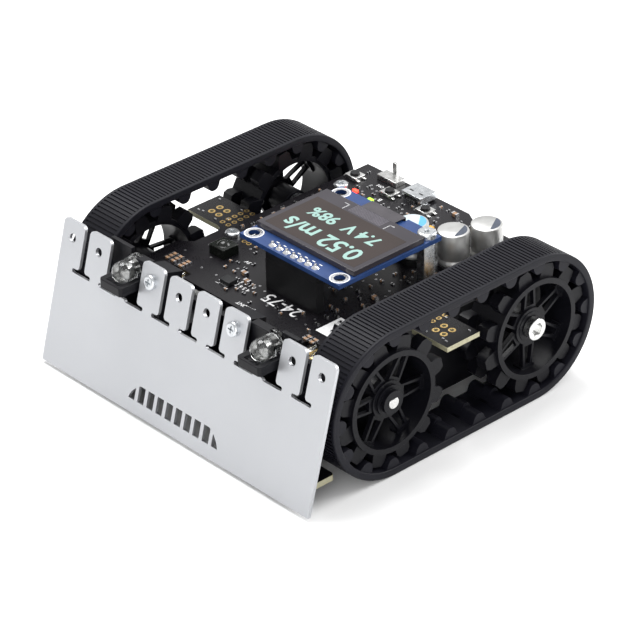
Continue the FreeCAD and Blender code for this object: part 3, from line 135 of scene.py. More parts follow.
def finish(name, light, dark, gloss, patches=60.0, grain=4000.0, bump=0.00001, brushed=None, **constants):
    """Material from the surface group; brushed adds lines, constants go on the shader's own sockets."""
    material = bpy.data.materials.new(name)
    material.use_nodes = True
    tree = material.node_tree
    shader = tree.nodes["Principled BSDF"]
    place = put(tree, "ShaderNodeTexCoord").outputs["Object"]
    group = put(tree, "ShaderNodeGroup", node_tree=SURFACE)
    tree.links.new(place, group.inputs["Vector"])
    group.inputs["Light"].default_value = (*light, 1)
    group.inputs["Dark"].default_value = (*dark, 1)
    group.inputs["Patches"].default_value = patches
    group.inputs["Grain"].default_value = grain
    group.inputs["Smoothest"].default_value, group.inputs["Roughest"].default_value = gloss
    height = group.outputs["Height"]
    if brushed:
        lines = put(tree, "ShaderNodeGroup", node_tree=BRUSHED)
        tree.links.new(place, lines.inputs["Vector"])
        lines.inputs["Stretch"].default_value = brushed
        height = lines.outputs["Lines"]
    relief = put(tree, "ShaderNodeBump", {"Height": height, "Distance": bump, "Strength": 1.0})
    tree.links.new(group.outputs["Color"], shader.inputs["Base Color"])
    tree.links.new(group.outputs["Roughness"], shader.inputs["Roughness"])
    tree.links.new(relief.outputs["Normal"], shader.inputs["Normal"])
    for key, value in constants.items():
        shader.inputs[SOCKET_NAMES.get(key, key.replace("_", " "))].default_value = value
    return material


def glow(name, colour, strength, base=None):
    """A lit surface that still shows its own plastic."""
    material = finish(name, base or colour, [0.8 * c for c in (base or colour)], (0.2, 0.35), bump=0.000003)
    shader = material.node_tree.nodes["Principled BSDF"]
    shader.inputs["Emission Color"].default_value = (*colour, 1)
    shader.inputs["Emission Strength"].default_value = strength
    return material


RUBBER = finish("track_rubber", (0.0065, 0.0065, 0.0105), (0.0045, 0.0045, 0.0075), (0.42, 0.56), patches=120,
                grain=9000, bump=0.000008, Specular_IOR_Level=0.17)
WHEEL = finish("wheel_plastic", (0.0045, 0.0045, 0.0065), (0.003, 0.003, 0.0045), (0.30, 0.42), patches=150,
               grain=6000, bump=0.000008, Specular_IOR_Level=0.15)
CHASSIS = finish("chassis_plastic", (0.0055, 0.0055, 0.0075), (0.0035, 0.0035, 0.005), (0.36, 0.5),
                 patches=90,
                 grain=5000, bump=0.000012, Specular_IOR_Level=0.18)
SATIN = finish("satin_sheet", (0.50, 0.51, 0.53), (0.46, 0.47, 0.49), (0.36, 0.46), patches=35, grain=9000,
               bump=0.000002, brushed=(60.0, 2500.0, 2500.0), Metallic=0.8)
ZINC = finish("zinc_steel", (0.66, 0.68, 0.70), (0.54, 0.56, 0.58), (0.2, 0.36), patches=900, grain=9000,
              bump=0.000004, Metallic=1.0)
STEEL = finish("ground_steel", (0.70, 0.70, 0.69), (0.55, 0.55, 0.54), (0.2, 0.34), patches=700, grain=9000,
               bump=0.000003, Metallic=1.0)
BRASS = finish("stamped_brass", (0.78, 0.60, 0.28), (0.62, 0.45, 0.18), (0.25, 0.4), patches=500, grain=9000,
               bump=0.000004, Metallic=1.0)
GOLD = finish("gold_plate", (0.86, 0.62, 0.26), (0.72, 0.48, 0.18), (0.2, 0.34), patches=1500, grain=9000,
              bump=0.000002, Metallic=1.0)
SOLDER = finish("solder_tin", (0.76, 0.76, 0.77), (0.58, 0.58, 0.60), (0.18, 0.36), patches=1800, grain=7000,
                bump=0.000008, Metallic=1.0)
MASK = finish("solder_mask", (0.0075, 0.0065, 0.0085), (0.005, 0.0045, 0.006), (0.24, 0.36), patches=70,
              grain=5000, bump=0.000005, Specular_IOR_Level=0.28)
TRACE = finish("copper_under_mask", (0.015, 0.013, 0.016), (0.011, 0.010, 0.012), (0.24, 0.34), patches=300,
               grain=5000, bump=0.000004, Specular_IOR_Level=0.3)
LAMINATE = finish("glass_epoxy_edge", (0.42, 0.40, 0.27), (0.30, 0.28, 0.18), (0.5, 0.7), patches=900,
                  grain=6000,
                  bump=0.00001)
INK = finish("white_marking", (0.80, 0.80, 0.80), (0.68, 0.68, 0.69), (0.45, 0.6), patches=800, grain=8000,
             bump=0.000004)
CHIP = finish("moulded_epoxy", (0.010, 0.0105, 0.012), (0.007, 0.0075, 0.0085), (0.34, 0.48), patches=500,
              grain=9000, bump=0.000008, Specular_IOR_Level=0.28)
RECEIVER = finish("infrared_filter_epoxy", (0.0075, 0.009, 0.0075), (0.005, 0.006, 0.005), (0.14, 0.24),
                  patches=300,
                  grain=9000, bump=0.000004, Specular_IOR_Level=0.35)
NYLON = finish("black_nylon", (0.008, 0.008, 0.009), (0.005, 0.005, 0.006), (0.38, 0.52), patches=300,
               grain=8000, bump=0.000008, Specular_IOR_Level=0.25)
CERAMIC = finish("tan_ceramic", (0.36, 0.22, 0.13), (0.24, 0.14, 0.08), (0.35, 0.5), patches=2500, grain=9000,
                 bump=0.000005)
BLUE = finish("blue_mask", (0.018, 0.050, 0.165), (0.013, 0.037, 0.125), (0.25, 0.38), patches=200,
              grain=6000,
              bump=0.000005, Specular_IOR_Level=0.4)
FLEX = finish("ribbon_film", (0.050, 0.045, 0.052), (0.036, 0.032, 0.038), (0.26, 0.36), patches=300,
              grain=5000,
              bump=0.000004)
PANEL = finish("display_panel", (0.036, 0.026, 0.024), (0.027, 0.020, 0.018), (0.10, 0.15), patches=60,
               grain=3000,
               bump=0.0000005, Specular_IOR_Level=0.3)
PANEL_RIM = finish("display_border", (0.040, 0.036, 0.043), (0.030, 0.027, 0.033), (0.12, 0.18), patches=80,
                   grain=3000, bump=0.0000005, Specular_IOR_Level=0.4)
CAN = finish("capacitor_can", (0.56, 0.56, 0.55), (0.46, 0.46, 0.45), (0.34, 0.46), patches=300, grain=6000,
             bump=0.000003, brushed=(2500.0, 2500.0, 80.0), Metallic=0.9)
CAN_MARK = finish("can_marking", (0.05, 0.06, 0.09), (0.03, 0.04, 0.06), (0.4, 0.55), patches=900, grain=9000)
CAN_BLUE = finish("can_marking_blue", (0.10, 0.36, 0.62), (0.07, 0.30, 0.54), (0.3, 0.45), patches=900,
                  grain=9000)
CAN_WHITE = finish("can_sleeve_white", (0.50, 0.58, 0.62), (0.44, 0.52, 0.57), (0.25, 0.4), patches=500,
                   grain=9000)
CONDUCTOR = finish("ribbon_conductor", (0.11, 0.10, 0.12), (0.08, 0.075, 0.09), (0.3, 0.4), patches=500,
                   grain=6000,
                   bump=0.000002)
AMBER = finish("amber_epoxy", (0.70, 0.38, 0.05), (0.58, 0.30, 0.04), (0.35, 0.5), patches=700, grain=8000,
               bump=0.000006)
WRAP = finish("cell_wrap", (0.10, 0.14, 0.20), (0.07, 0.10, 0.15), (0.2, 0.32), patches=120, grain=5000,
              bump=0.000004)
MAGNET = finish("moulded_magnet", (0.035, 0.033, 0.032), (0.02, 0.02, 0.02), (0.45, 0.6), patches=300,
                grain=7000)
RED = glow("red_lamp", (1.0, 0.03, 0.015), 6.0)
GREEN = glow("green_lamp", (0.35, 0.85, 0.04), 2.2)
READOUT = glow("lit_readout", (0.44, 0.80, 0.70), 0.72, (0.10, 0.12, 0.12))


def clear_epoxy():
    """Cast lamp body, clear with the slight waves of its mould."""
    material = finish("clear_epoxy", (0.97, 0.985, 0.985), (0.94, 0.96, 0.965), (0.02, 0.05), patches=300,
                      grain=700,
                      bump=0.00003)
    shader = material.node_tree.nodes["Principled BSDF"]
    shader.inputs["Transmission Weight"].default_value = 1.0
    shader.inputs["IOR"].default_value = 1.52
    return material


CLEAR = clear_epoxy()


# ------------------------------------------------------------- mesh helpers
def to_object(bm, name, material, smooth=30.0):
    """Finished object from a bmesh; faces smooth except over sharp edges."""
    mesh = bpy.data.meshes.new(name)
    bm.to_mesh(mesh)
    bm.free()
    mesh.materials.append(material)
    mesh.shade_smooth()
    mesh.set_sharp_from_angle(angle=math.radians(smooth))
    piece = bpy.data.objects.new(name, mesh)
    bpy.context.collection.objects.link(piece)
    return piece


def keep(piece, body, slot, *nodes):
    """Rides on a body and stands for CAD nodes; the slot is not used."""
    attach(piece, body)
    if nodes:
        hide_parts(*nodes)
    return piece


def bevelled(piece, width, segments=2, angle=30.0):
    rounding = piece.modifiers.new("rounded_edges", "BEVEL")
    rounding.width = width
    rounding.segments = segments
    rounding.limit_method = "ANGLE"
    rounding.angle_limit = math.radians(angle)
    even = piece.modifiers.new("even_normals", "WEIGHTED_NORMAL")
    even.keep_sharp = True
    return piece


def clean_copy(node):
    """The CAD node's mesh with its triangles joined into whole faces."""
    bm = bmesh.new()
    bm.from_mesh(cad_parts[node].data)
    bmesh.ops.remove_doubles(bm, verts=bm.verts, dist=1e-7)
    bmesh.ops.dissolve_limit(bm, angle_limit=math.radians(0.5), use_dissolve_boundaries=False,
                             verts=bm.verts, edges=bm.edges, delimit=set())
    return bm


BARE_EDGE_X = 34 * MM        # the boards' sawn edges show their laminate outside this


def softened(node, body, slot, material, width=0.12, segments=2, edge=None):
    """A CAD node with its sharp edges rounded off, and a second finish on its upright faces if given."""
    piece = to_object(clean_copy(node), node + "_finished", material, 40.0)
    if edge:
        piece.data.materials.append(edge)
        for face in piece.data.polygons:
            face.material_index = int(abs(face.normal.z) < 0.5 and abs(face.center.x) > BARE_EDGE_X)
    bevelled(piece, width * MM, segments)
    return keep(piece, body, slot, node)


def islands(node):
    """Lowest and highest corner of each separate solid of a CAD node."""
    bm = bmesh.new()
    bm.from_mesh(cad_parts[node].data)
    bmesh.ops.remove_doubles(bm, verts=bm.verts, dist=1e-7)
    left, found = set(bm.verts), []
    while left:
        stack, seen = [left.pop()], []
        while stack:
            vertex = stack.pop()
            seen.append(vertex.co.copy())
            for edge in vertex.link_edges:
                other = edge.other_vert(vertex)
                if other in left:
                    left.remove(other)
                    stack.append(other)
        low = Vector(min(c[i] for c in seen) for i in range(3))
        high = Vector(max(c[i] for c in seen) for i in range(3))
        found.append((low, high))
    bm.free()
    return sorted(found, key=lambda pair: tuple(round(v, 5) for v in pair[0]))


def add_block(bm, low, high, chamfer=0.0):
    """A block, with its top edges cut back when chamfer is given."""
    size = Vector(high) - Vector(low)
    centre = (Vector(high) + Vector(low)) / 2
    made = bmesh.ops.create_cube(bm, size=1.0)["verts"]
    for vertex in made:
        top = vertex.co.z > 0
        scale = Vector((size.x, size.y, size.z))
        if top and chamfer:
            scale.x -= 2 * chamfer
            scale.y -= 2 * chamfer
        vertex.co = Vector(vertex.co[i] * scale[i] for i in range(3)) + centre
    return made


def add_lathe(bm, profile, centre, axis, steps=32):
    """Turned shape: profile is (distance along axis, radius) from end to end."""
    axis = Vector(axis).normalized()
    side = axis.orthogonal().normalized()
    other = axis.cross(side)
    rings = []
    for along, radius in profile:
        base = Vector(centre) + axis * along
        if radius < 1e-7:
            rings.append([bm.verts.new(base)])
            continue
        ring = []
        for k in range(steps):
            a = 2 * math.pi * k / steps
            ring.append(bm.verts.new(base + (side * math.cos(a) + other * math.sin(a)) * radius))
        rings.append(ring)
    for low, high in zip(rings, rings[1:]):
        for k in range(steps):
            n = (k + 1) % steps
            if len(low) == 1 and len(high) == 1:
                continue
            if len(low) == 1:
                bm.faces.new((low[0], high[n], high[k]))
            elif len(high) == 1:
                bm.faces.new((low[k], low[n], high[0]))
            else:
                bm.faces.new((low[k], low[n], high[n], high[k]))
    return rings


def outward(bm):
    bmesh.ops.recalc_face_normals(bm, faces=bm.faces)
    return bm


# ------------------------------------------------------------------- tracks
def rounded_profile(tree, width, height, radius):
    """Rounded rectangle in the profile plane, centred on its middle."""
    outline = put(tree, "GeometryNodeCurvePrimitiveQuadrilateral", {"Width": width, "Height": height},
                  mode="RECTANGLE")
    return put(tree, "GeometryNodeFilletCurve", {"Curve": outline.outputs[0], "Radius": radius, "Count": 4,
                                                 "Limit Radius": True}, mode="POLY").outputs[0]


def track_tree():
    """Belt loop with cross ribs outside and lugs inside, all from the loop's own sizes."""
    tree, given, out = group_tree(
        "track_loop", "GeometryNodeTree",
        [("Radius", "NodeSocketFloat", 0.0195), ("Axle spacing", "NodeSocketFloat", 0.047),
         ("Width", "NodeSocketFloat", 0.0125), ("Belt", "NodeSocketFloat", 0.0019),
         ("Cord depth", "NodeSocketFloat", 0.00155), ("Rib height", "NodeSocketFloat", 0.0003),
         ("Rib width", "NodeSocketFloat", 0.00062), ("Rib count", "NodeSocketInt", 198),
         ("Lug count", "NodeSocketInt", 22), ("Edge strip", "NodeSocketFloat", 0.001),
         ("Lug start", "NodeSocketFloat", 0.0), ("Centre", "NodeSocketVector", (0, 0, 0)),
         ("Lug", "NodeSocketObject", None), ("Surface", "NodeSocketMaterial", None)],
        [("Geometry", "NodeSocketGeometry")])

    def add(a, b):
        return put(tree, "ShaderNodeMath", {0: a, 1: b}, operation="ADD").outputs[0]

    def take(a, b):
        return put(tree, "ShaderNodeMath", {0: a, 1: b}, operation="SUBTRACT").outputs[0]

    def times(a, b):
        return put(tree, "ShaderNodeMath", {0: a, 1: b}, operation="MULTIPLY").outputs[0]

    def loop_at(radius, segments):
        height = times(radius, 2.0)
        box = put(tree, "GeometryNodeCurvePrimitiveQuadrilateral",
                  {"Width": add(given["Axle spacing"], height), "Height": height}, mode="RECTANGLE")
        round_ends = put(tree, "GeometryNodeFilletCurve",
                         {"Curve": box.outputs[0], "Radius": radius, "Count": segments, "Limit Radius": True},
                         mode="POLY")
        stood = put(tree, "GeometryNodeTransform",
                    {"Geometry": round_ends.outputs[0], "Translation": given["Centre"],
                     "Rotation": (math.pi / 2, 0, math.pi / 2)})
        return stood.outputs[0]

    def swept(radius, profile):
        normal = put(tree, "GeometryNodeSetCurveNormal", {"Curve": loop_at(radius, 40), "Normal": (1, 0, 0)},
                     mode="FREE")
        return put(tree, "GeometryNodeCurveToMesh",
                   {"Curve": normal.outputs[0], "Profile Curve": profile}).outputs[0]

    rib = given["Rib height"]
    belt_height = take(given["Belt"], rib)
    belt_middle = take(take(given["Radius"], rib), times(belt_height, 0.5))
    belt = swept(belt_middle, rounded_profile(tree, given["Width"], belt_height, 0.0003))
    parts = [belt]
    for side in (-1.0, 1.0):
        offset = times(times(take(given["Width"], given["Edge strip"]), 0.5), side)
        strip = rounded_profile(tree, given["Edge strip"], times(rib, 3.0), 0.0003)
        shifted = put(tree, "GeometryNodeTransform", {"Geometry": strip})
        tree.links.new(put(tree, "ShaderNodeCombineXYZ", {"X": offset}).outputs[0],
                       shifted.inputs["Translation"])
        parts.append(swept(take(given["Radius"], times(rib, 1.5)), shifted.outputs[0]))

    def placed(count, start, instance):
        path = loop_at(take(given["Radius"], given["Cord depth"]), 200)
        length = put(tree, "GeometryNodeCurveLength", {"Curve": path}).outputs[0]
        points = put(tree, "GeometryNodePoints", {"Count": count}).outputs[0]
        index = put(tree, "GeometryNodeInputIndex").outputs[0]
        share = put(tree, "ShaderNodeMath", {0: add(index, start), 1: count}, operation="DIVIDE").outputs[0]
        share = put(tree, "ShaderNodeMath", {0: share}, operation="FRACT").outputs[0]
        sample = put(tree, "GeometryNodeSampleCurve", {"Curves": path, "Length": times(share, length)},
                     mode="LENGTH")
        spread = put(tree, "GeometryNodeSetPosition", {"Geometry": points,
                                                       "Position": sample.outputs["Position"]}).outputs[0]
        turn = put(tree, "FunctionNodeAxesToRotation", {"Primary Axis": sample.outputs["Tangent"],
                                                        "Secondary Axis": (-1, 0, 0)},
                   primary_axis="Y", secondary_axis="X")
        return put(tree, "GeometryNodeInstanceOnPoints", {"Points": spread, "Instance": instance,
                                                          "Rotation": turn.outputs[0]}).outputs[0]

    rib_size = put(tree, "ShaderNodeCombineXYZ", {"X": take(given["Width"], times(given["Edge strip"], 1.6)),
                                                  "Y": given["Rib width"], "Z": times(rib, 2.0)}).outputs[0]
    bar = put(tree, "GeometryNodeMeshCube", {"Size": rib_size}).outputs[0]
    lift = put(tree, "ShaderNodeCombineXYZ", {"Z": take(given["Cord depth"], rib)}).outputs[0]
    bar = put(tree, "GeometryNodeTransform", {"Geometry": bar, "Translation": lift}).outputs[0]
    parts.append(placed(given["Rib count"], 0.5, bar))
    lug = put(tree, "GeometryNodeObjectInfo", {"Object": given["Lug"]}).outputs["Geometry"]
    parts.append(placed(given["Lug count"], given["Lug start"], lug))
    joined = put(tree, "GeometryNodeJoinGeometry")
    for part in parts:
        tree.links.new(part, joined.inputs[0])
    real = put(tree, "GeometryNodeRealizeInstances", {"Geometry": joined.outputs[0]}).outputs[0]
    painted = put(tree, "GeometryNodeSetMaterial", {"Geometry": real, "Material": given["Surface"]})
    tree.links.new(painted.outputs[0], out["Geometry"])
    return tree


LUG_START = 0.937            # share of a pitch from the loop's start to its first lug
LUG_FOOT = -0.35 * MM        # the belt's inner face, from the cord line
LUG_BASE, LUG_TIP, LUG_HEIGHT = 4.2 * MM, 2.4 * MM, 2.5 * MM
GUIDE_WIDTH, GUIDE_EXTRA = 2.6 * MM, 0.9 * MM


def lug_outline(height, tip):
    """Rounded lobe in (along, depth): flared foot, sloping flanks, round nose."""
    points = [(-LUG_BASE / 2 - 0.5 * MM, 0.3 * MM), (-LUG_BASE / 2 - 0.35 * MM, -0.05 * MM),
              (-LUG_BASE / 2 + 0.1 * MM, -0.35 * MM), (-tip / 2 - 0.35 * MM, -height + 0.9 * MM)]
    for k in range(7):
        a = math.pi * (0.06 + 0.88 * k / 6)
        points.append((-tip / 2 * math.cos(a), -height + 0.55 * MM - 0.55 * MM * math.sin(a)))
    points += [(-x, z) for x, z in reversed(points[:4])]
    return points


def lug_mesh(width):
    bm = bmesh.new()
    for half, outline in ((width / 2, lug_outline(LUG_HEIGHT, LUG_TIP)),
                          (GUIDE_WIDTH / 2, lug_outline(LUG_HEIGHT + GUIDE_EXTRA, LUG_TIP - 0.5 * MM))):
        ends = [[bm.verts.new((x, along, depth + LUG_FOOT)) for along, depth in outline] for x in (-half,
                                                                                                   half)]
        count = len(outline)
        for k in range(count):
            n = (k + 1) % count
            bm.faces.new((ends[0][k], ends[0][n], ends[1][n], ends[1][k]))
        for end in ends:
            bm.faces.new(end)
    return to_object(outward(bm), "lug_shape", RUBBER)


def set_inputs(modifier, tree, values):
    """Give a modifier's named inputs their values by each socket's identifier."""
    for item in tree.interface.items_tree:
        if item.item_type == "SOCKET" and item.in_out == "INPUT" and item.name in values:
            modifier[item.identifier] = values[item.name]


def applied(carrier, name):
    """The modifier's result as a plain mesh object of its own."""
    graph = bpy.context.evaluated_depsgraph_get()
    mesh = bpy.data.meshes.new_from_object(carrier.evaluated_get(graph), depsgraph=graph)
    piece = bpy.data.objects.new(name, mesh)
    bpy.context.collection.objects.link(piece)
    bpy.data.objects.remove(carrier)
    return piece


def tracks():
    """Each belt from the one tree, sized by its solid, as a plain mesh in the solid's place."""
    tree = track_tree()
    for side, _ in SIDES:
        low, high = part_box("track_" + side)
        radius = (high.z - low.z) / 2
        width = high.x - low.x
        lug = lug_mesh(width - 0.9 * MM)
        carrier = bpy.data.objects.new("track_maker", bpy.data.meshes.new("track_maker"))
        bpy.context.collection.objects.link(carrier)
        modifier = carrier.modifiers.new("loop", "NODES")
        modifier.node_group = tree
        set_inputs(modifier, tree, {
            "Radius": radius, "Axle spacing": high.y - low.y - 2 * radius, "Width": width,
            "Rib count": LUGS * RIBS_PER_LUG, "Lug count": LUGS, "Lug start": LUG_START,
            "Centre": ((low.x + high.x) / 2, (low.y + high.y) / 2, (low.z + high.z) / 2),
            "Lug": lug, "Surface": RUBBER})
        piece = applied(carrier, "track_belt_" + side)
        bpy.data.objects.remove(lug)
        piece.data.shade_smooth()
        piece.data.set_sharp_from_angle(angle=math.radians(35))
        keep(piece, ROOT, "track_rubber", "track_" + side)


# ------------------------------------------------------------- CAD finishes
def finishes():
    """CAD pieces that keep their shape: rounded edges and their own material."""
    plans = [
        ("chassis_body", ROOT, "chassis_plastic", CHASSIS, 0.3),
             ("battery_cover", "cover", "chassis_plastic", CHASSIS, 0.3),
        ("led_holder_left", ROOT, "chassis_plastic", CHASSIS, 0.2),
             ("led_holder_right", ROOT, "chassis_plastic", CHASSIS, 0.2),
        ("blade", ROOT, "blade_steel", SATIN, 0.12), ("blade_screws", ROOT, "zinc_fastener", ZINC, 0.06),
        ("blade_nuts", ROOT, "zinc_fastener", ZINC, 0.12),
             ("board_screws", ROOT, "zinc_fastener", ZINC, 0.06),
        ("display_screw", ROOT, "zinc_fastener", ZINC, 0.06),
             ("display_standoff", ROOT, "zinc_fastener", ZINC, 0.15),
        ("power_cells", ROOT, "cell_wrap", WRAP, 0.4), ("cell_contacts", ROOT, "contact_nickel", STEEL, 0.05),
        ("display_board", ROOT, "display_blue", BLUE, 0.08),
             ("display_glass", ROOT, "display_glass", PANEL_RIM, 0.12),
        ("display_flex", ROOT, "flex_amber", FLEX, 0.04), ("display_pins", ROOT, "pin_metal", NYLON, 0.06),
        ("display_socket", ROOT, "black_nylon", NYLON, 0.12),
             ("sensor_header", ROOT, "black_nylon", NYLON, 0.08),
        ("button_bodies", ROOT, "switch_metal", STEEL, 0.1),
             ("switch_body", ROOT, "switch_metal", STEEL, 0.1),
        ("switch_slider", "switch_knob", "button_plastic", STEEL, 0.08),
        ("usb_socket", ROOT, "connector_steel", ZINC, 0.06),
        ("capacitor_bases", ROOT, "black_nylon", NYLON, 0.1),
        ("chips", ROOT, "chip_epoxy", CHIP, 0.1), ("proximity_sensors", ROOT, "chip_epoxy", RECEIVER, 0.12),
        ("line_sensors", ROOT, "chip_epoxy", CHIP, 0.1),
             ("resistors", ROOT, "resistor_ceramic", CERAMIC, 0.06),
        ("small_capacitors", ROOT, "resistor_ceramic", CERAMIC, 0.08),
        ("power_led", ROOT, "red_lamp", RED, 0.08), ("user_led", ROOT, "green_lamp", GREEN, 0.08),
        ("infrared_leds", ROOT, "clear_epoxy", CLEAR, 0.05),
             ("idler_washers", ROOT, "zinc_fastener", ZINC, 0.1),
        ("idler_nuts", ROOT, "zinc_fastener", ZINC, 0.1),
             ("main_board", ROOT, "circuit_board", MASK, 0.06, 1, LAMINATE),
        ("sensor_board", ROOT, "circuit_board", MASK, 0.08, 1, LAMINATE),
    ]
    for letter in "abc":
        plans.append(("button_cap_" + letter, "button_" + letter, "button_plastic", NYLON, 0.15))
    for side, _ in SIDES:
        wheel = "drive_wheel_" + side
        plans += [("drive_sprocket_" + side, wheel, "sprocket_plastic", WHEEL, 0.18),
                  ("idler_sprocket_" + side, "idler_wheel_" + side, "sprocket_plastic", WHEEL, 0.18),
                  ("output_shaft_" + side, wheel, "shaft_steel", STEEL, 0.1),
                  ("encoder_disc_" + side, "motor_rotor_" + side, "magnet_black", MAGNET, 0.2),
                  ("shoulder_bolt_" + side, ROOT, "shaft_steel", STEEL, 0.15),
                  ("motor_can_" + side, ROOT, "motor_steel", STEEL, 0.3),
                  ("gearbox_" + side, ROOT, "gearbox_brass", BRASS, 0.08)]
    for plan in plans:
        softened(*plan)


# ------------------------------------------------------------- small parts
def scatter_tree():
    """One shape set on every point of a mesh, turned about Z by the point's own turn."""
    tree, given, out = group_tree(
        "set_on_points", "GeometryNodeTree",
        [("Geometry", "NodeSocketGeometry", None), ("Shape", "NodeSocketObject", None),
         ("Surface", "NodeSocketMaterial", None)],
        [("Geometry", "NodeSocketGeometry")])
    turn = put(tree, "GeometryNodeInputNamedAttribute", {"Name": "turn"},
               data_type="FLOAT").outputs["Attribute"]
    rotation = put(tree, "ShaderNodeCombineXYZ", {"Z": turn}).outputs[0]
    shape = put(tree, "GeometryNodeObjectInfo", {"Object": given["Shape"]}).outputs["Geometry"]
    spread = put(tree, "GeometryNodeInstanceOnPoints", {"Points": given["Geometry"], "Instance": shape,
                                                        "Rotation": rotation}).outputs[0]
    real = put(tree, "GeometryNodeRealizeInstances", {"Geometry": spread}).outputs[0]
    painted = put(tree, "GeometryNodeSetMaterial", {"Geometry": real, "Material": given["Surface"]})
    tree.links.new(painted.outputs[0], out["Geometry"])
    return tree


SCATTER = scatter_tree()


def scatter(name, places, shape, material, slot, body=ROOT):
    """Copies of a shape at (x, y, z, turn) places in mm and degrees, made into one piece."""
    mesh = bpy.data.meshes.new(name)
    mesh.from_pydata([Vector(place[:3]) * MM for place in places], [], [])
    turns = mesh.attributes.new("turn", "FLOAT", "POINT")
    turns.data.foreach_set("value", [math.radians(place[3]) for place in places])
    carrier = bpy.data.objects.new(name + "_maker", mesh)
    bpy.context.collection.objects.link(carrier)
    modifier = carrier.modifiers.new("spread", "NODES")
    modifier.node_group = SCATTER
    set_inputs(modifier, SCATTER, {"Shape": shape, "Surface": material})
    piece = applied(carrier, name)
    bpy.data.objects.remove(shape)
    return keep(piece, body, slot)


def block_shape(a, b, h, chamfer=0.0, base=0.0):
    bm = bmesh.new()
    add_block(bm, Vector((-a / 2, -b / 2, base)) * MM, Vector((a / 2, b / 2, base + h)) * MM, chamfer * MM)
    return to_object(outward(bm), "block_shape", MASK)


def ends_shape(a, b, h, cap):
    """Both tinned ends of a chip part."""
    bm = bmesh.new()
    grow = 0.03
    for sign in (-1, 1):
        x0, x1 = sorted((sign * (a / 2 + grow), sign * (a / 2 - cap)))
        add_block(bm, Vector((x0, -b / 2 - grow, 0)) * MM, Vector((x1, b / 2 + grow, h + grow)) * MM)
    return to_object(outward(bm), "ends_shape", SOLDER)


def ring_shape(inner, outer, height, steps=20):
    bm = bmesh.new()
    rings = add_lathe(bm, [(0, outer * MM), (height * MM, outer * MM), (height * MM, inner * MM),
                           (0, inner * MM)],
                      (0, 0, 0), (0, 0, 1), steps)
    for k in range(steps):
        n = (k + 1) % steps
        bm.faces.new((rings[3][k], rings[3][n], rings[0][n], rings[0][k]))
    return to_object(outward(bm), "ring_shape", GOLD, 30.0)


def turned_shape(profile, steps=20):
    bm = bmesh.new()
    add_lathe(bm, [(along * MM, radius * MM) for along, radius in profile], (0, 0, 0), (0, 0, 1), steps)
    return to_object(outward(bm), "turned_shape", SOLDER, 50.0)


def lettering(name, lines, material, slot, thickness=0.02, bold=0.0):
    """Flat characters: (text, x, y, z, height, turn) in mm and degrees, joined as one piece."""
    bm = bmesh.new()
    for text, x, y, z, height, turn in lines:
        curve = bpy.data.curves.new("characters", "FONT")
        curve.body = text
        curve.size = height
        curve.offset = bold
        curve.extrude = thickness / 2
        curve.align_x = "CENTER"
        curve.align_y = "CENTER"
        curve.resolution_u = 3
        writer = bpy.data.objects.new("characters", curve)
        bpy.context.collection.objects.link(writer)
        graph = bpy.context.evaluated_depsgraph_get()
        mesh = bpy.data.meshes.new_from_object(writer.evaluated_get(graph), depsgraph=graph)
        place = Matrix.Translation(Vector((x, y, z)) * MM) @ Matrix.Rotation(math.radians(turn), 4, "Z")
        mesh.transform(place @ Matrix.Scale(MM, 4))
        bm.from_mesh(mesh)
        bpy.data.objects.remove(writer)
    bmesh.ops.remove_doubles(bm, verts=bm.verts, dist=1e-8)
    return keep(to_object(bm, name, material, 30.0), ROOT, slot)


def millimetres(node):
    low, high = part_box(node)
    return low / MM, high / MM


# ----------------------------------------------------------------- display
def display_details():
    low, high = millimetres("display_glass")
    board_low, board_high = millimetres("display_board")
    top, deck = high.z, board_high.z
    bm = bmesh.new()
    add_block(bm, Vector((low.x + 1.5, low.y + 1.3, top - 0.2)) * MM,
              Vector((high.x - 1.5, high.y - 4.4, top + 0.02)) * MM)
    keep(to_object(outward(bm), "lit_area", PANEL), ROOT, "display_glass")
    middle = (low.x + high.x) / 2
    row = top + 0.03
    lettering("display_readout", [("0.52 m/s", middle, low.y + 5.6, row, 7.6, 180),
                                  ("7.4 V  98%", middle - 0.2, low.y + 13.3, row, 5.4, 180)],
              READOUT, "display_glass", bold=0.14)
    rear = high.y - 4.1
    marks = [(middle + sign * 7.2, rear + 1.2, top, 0) for sign in (-1, 1)]
    scatter("corner_marks_long", marks, block_shape(0.3, 2.6, 0.03), SOLDER, "pin_metal")
    scatter("corner_marks_short",
            [(x + (0.75 if x > middle else -0.75), rear + 2.4, z, 0) for x, _, z, _ in marks],
            block_shape(1.6, 0.3, 0.03), SOLDER, "pin_metal")
    ribs = [(middle - 5.4 + 0.45 * k, rear + 2.0, top, 0) for k in range(25)]
    scatter("ribbon_conductors", ribs, block_shape(0.2, 3.6, 0.025), CONDUCTOR, "flex_amber")
    corners = [(board_low.x + 2.5, board_low.y + 2.5), (board_high.x - 2.5, board_low.y + 2.5),
               (board_low.x + 2.5, board_high.y - 2.5)]
    scatter("hole_plating", [(x, y, deck, 0) for x, y in corners], ring_shape(1.45, 2.05, 0.04, 32), SOLDER,
            "pin_metal")
    scatter("hole_rings", [(x, y, deck, 0) for x, y in corners], ring_shape(2.15, 2.5, 0.03, 32), INK,
            "display_blue")
    pins_low, pins_high = millimetres("display_pins")
    pin_y = (pins_low.y + pins_high.y) / 2
    pitch = 2.54
    first = (pins_low.x + pins_high.x) / 2 - 3 * pitch
    cones = [(first + pitch * k, pin_y, deck, 0) for k in range(7)]
    scatter("solder_cones", cones, turned_shape([(0, 0.0), (0, 1.0), (0.12, 0.9), (0.35, 0.55), (0.75, 0.38),
                                                 (1.02, 0.3), (1.05, 0.0)]), SOLDER, "pin_metal")
    scatter("pin_marks", [(x, pin_y + 1.75, deck, 0) for x, _, _, _ in cones], block_shape(1.0, 0.3, 0.03),
            INK, "display_blue")


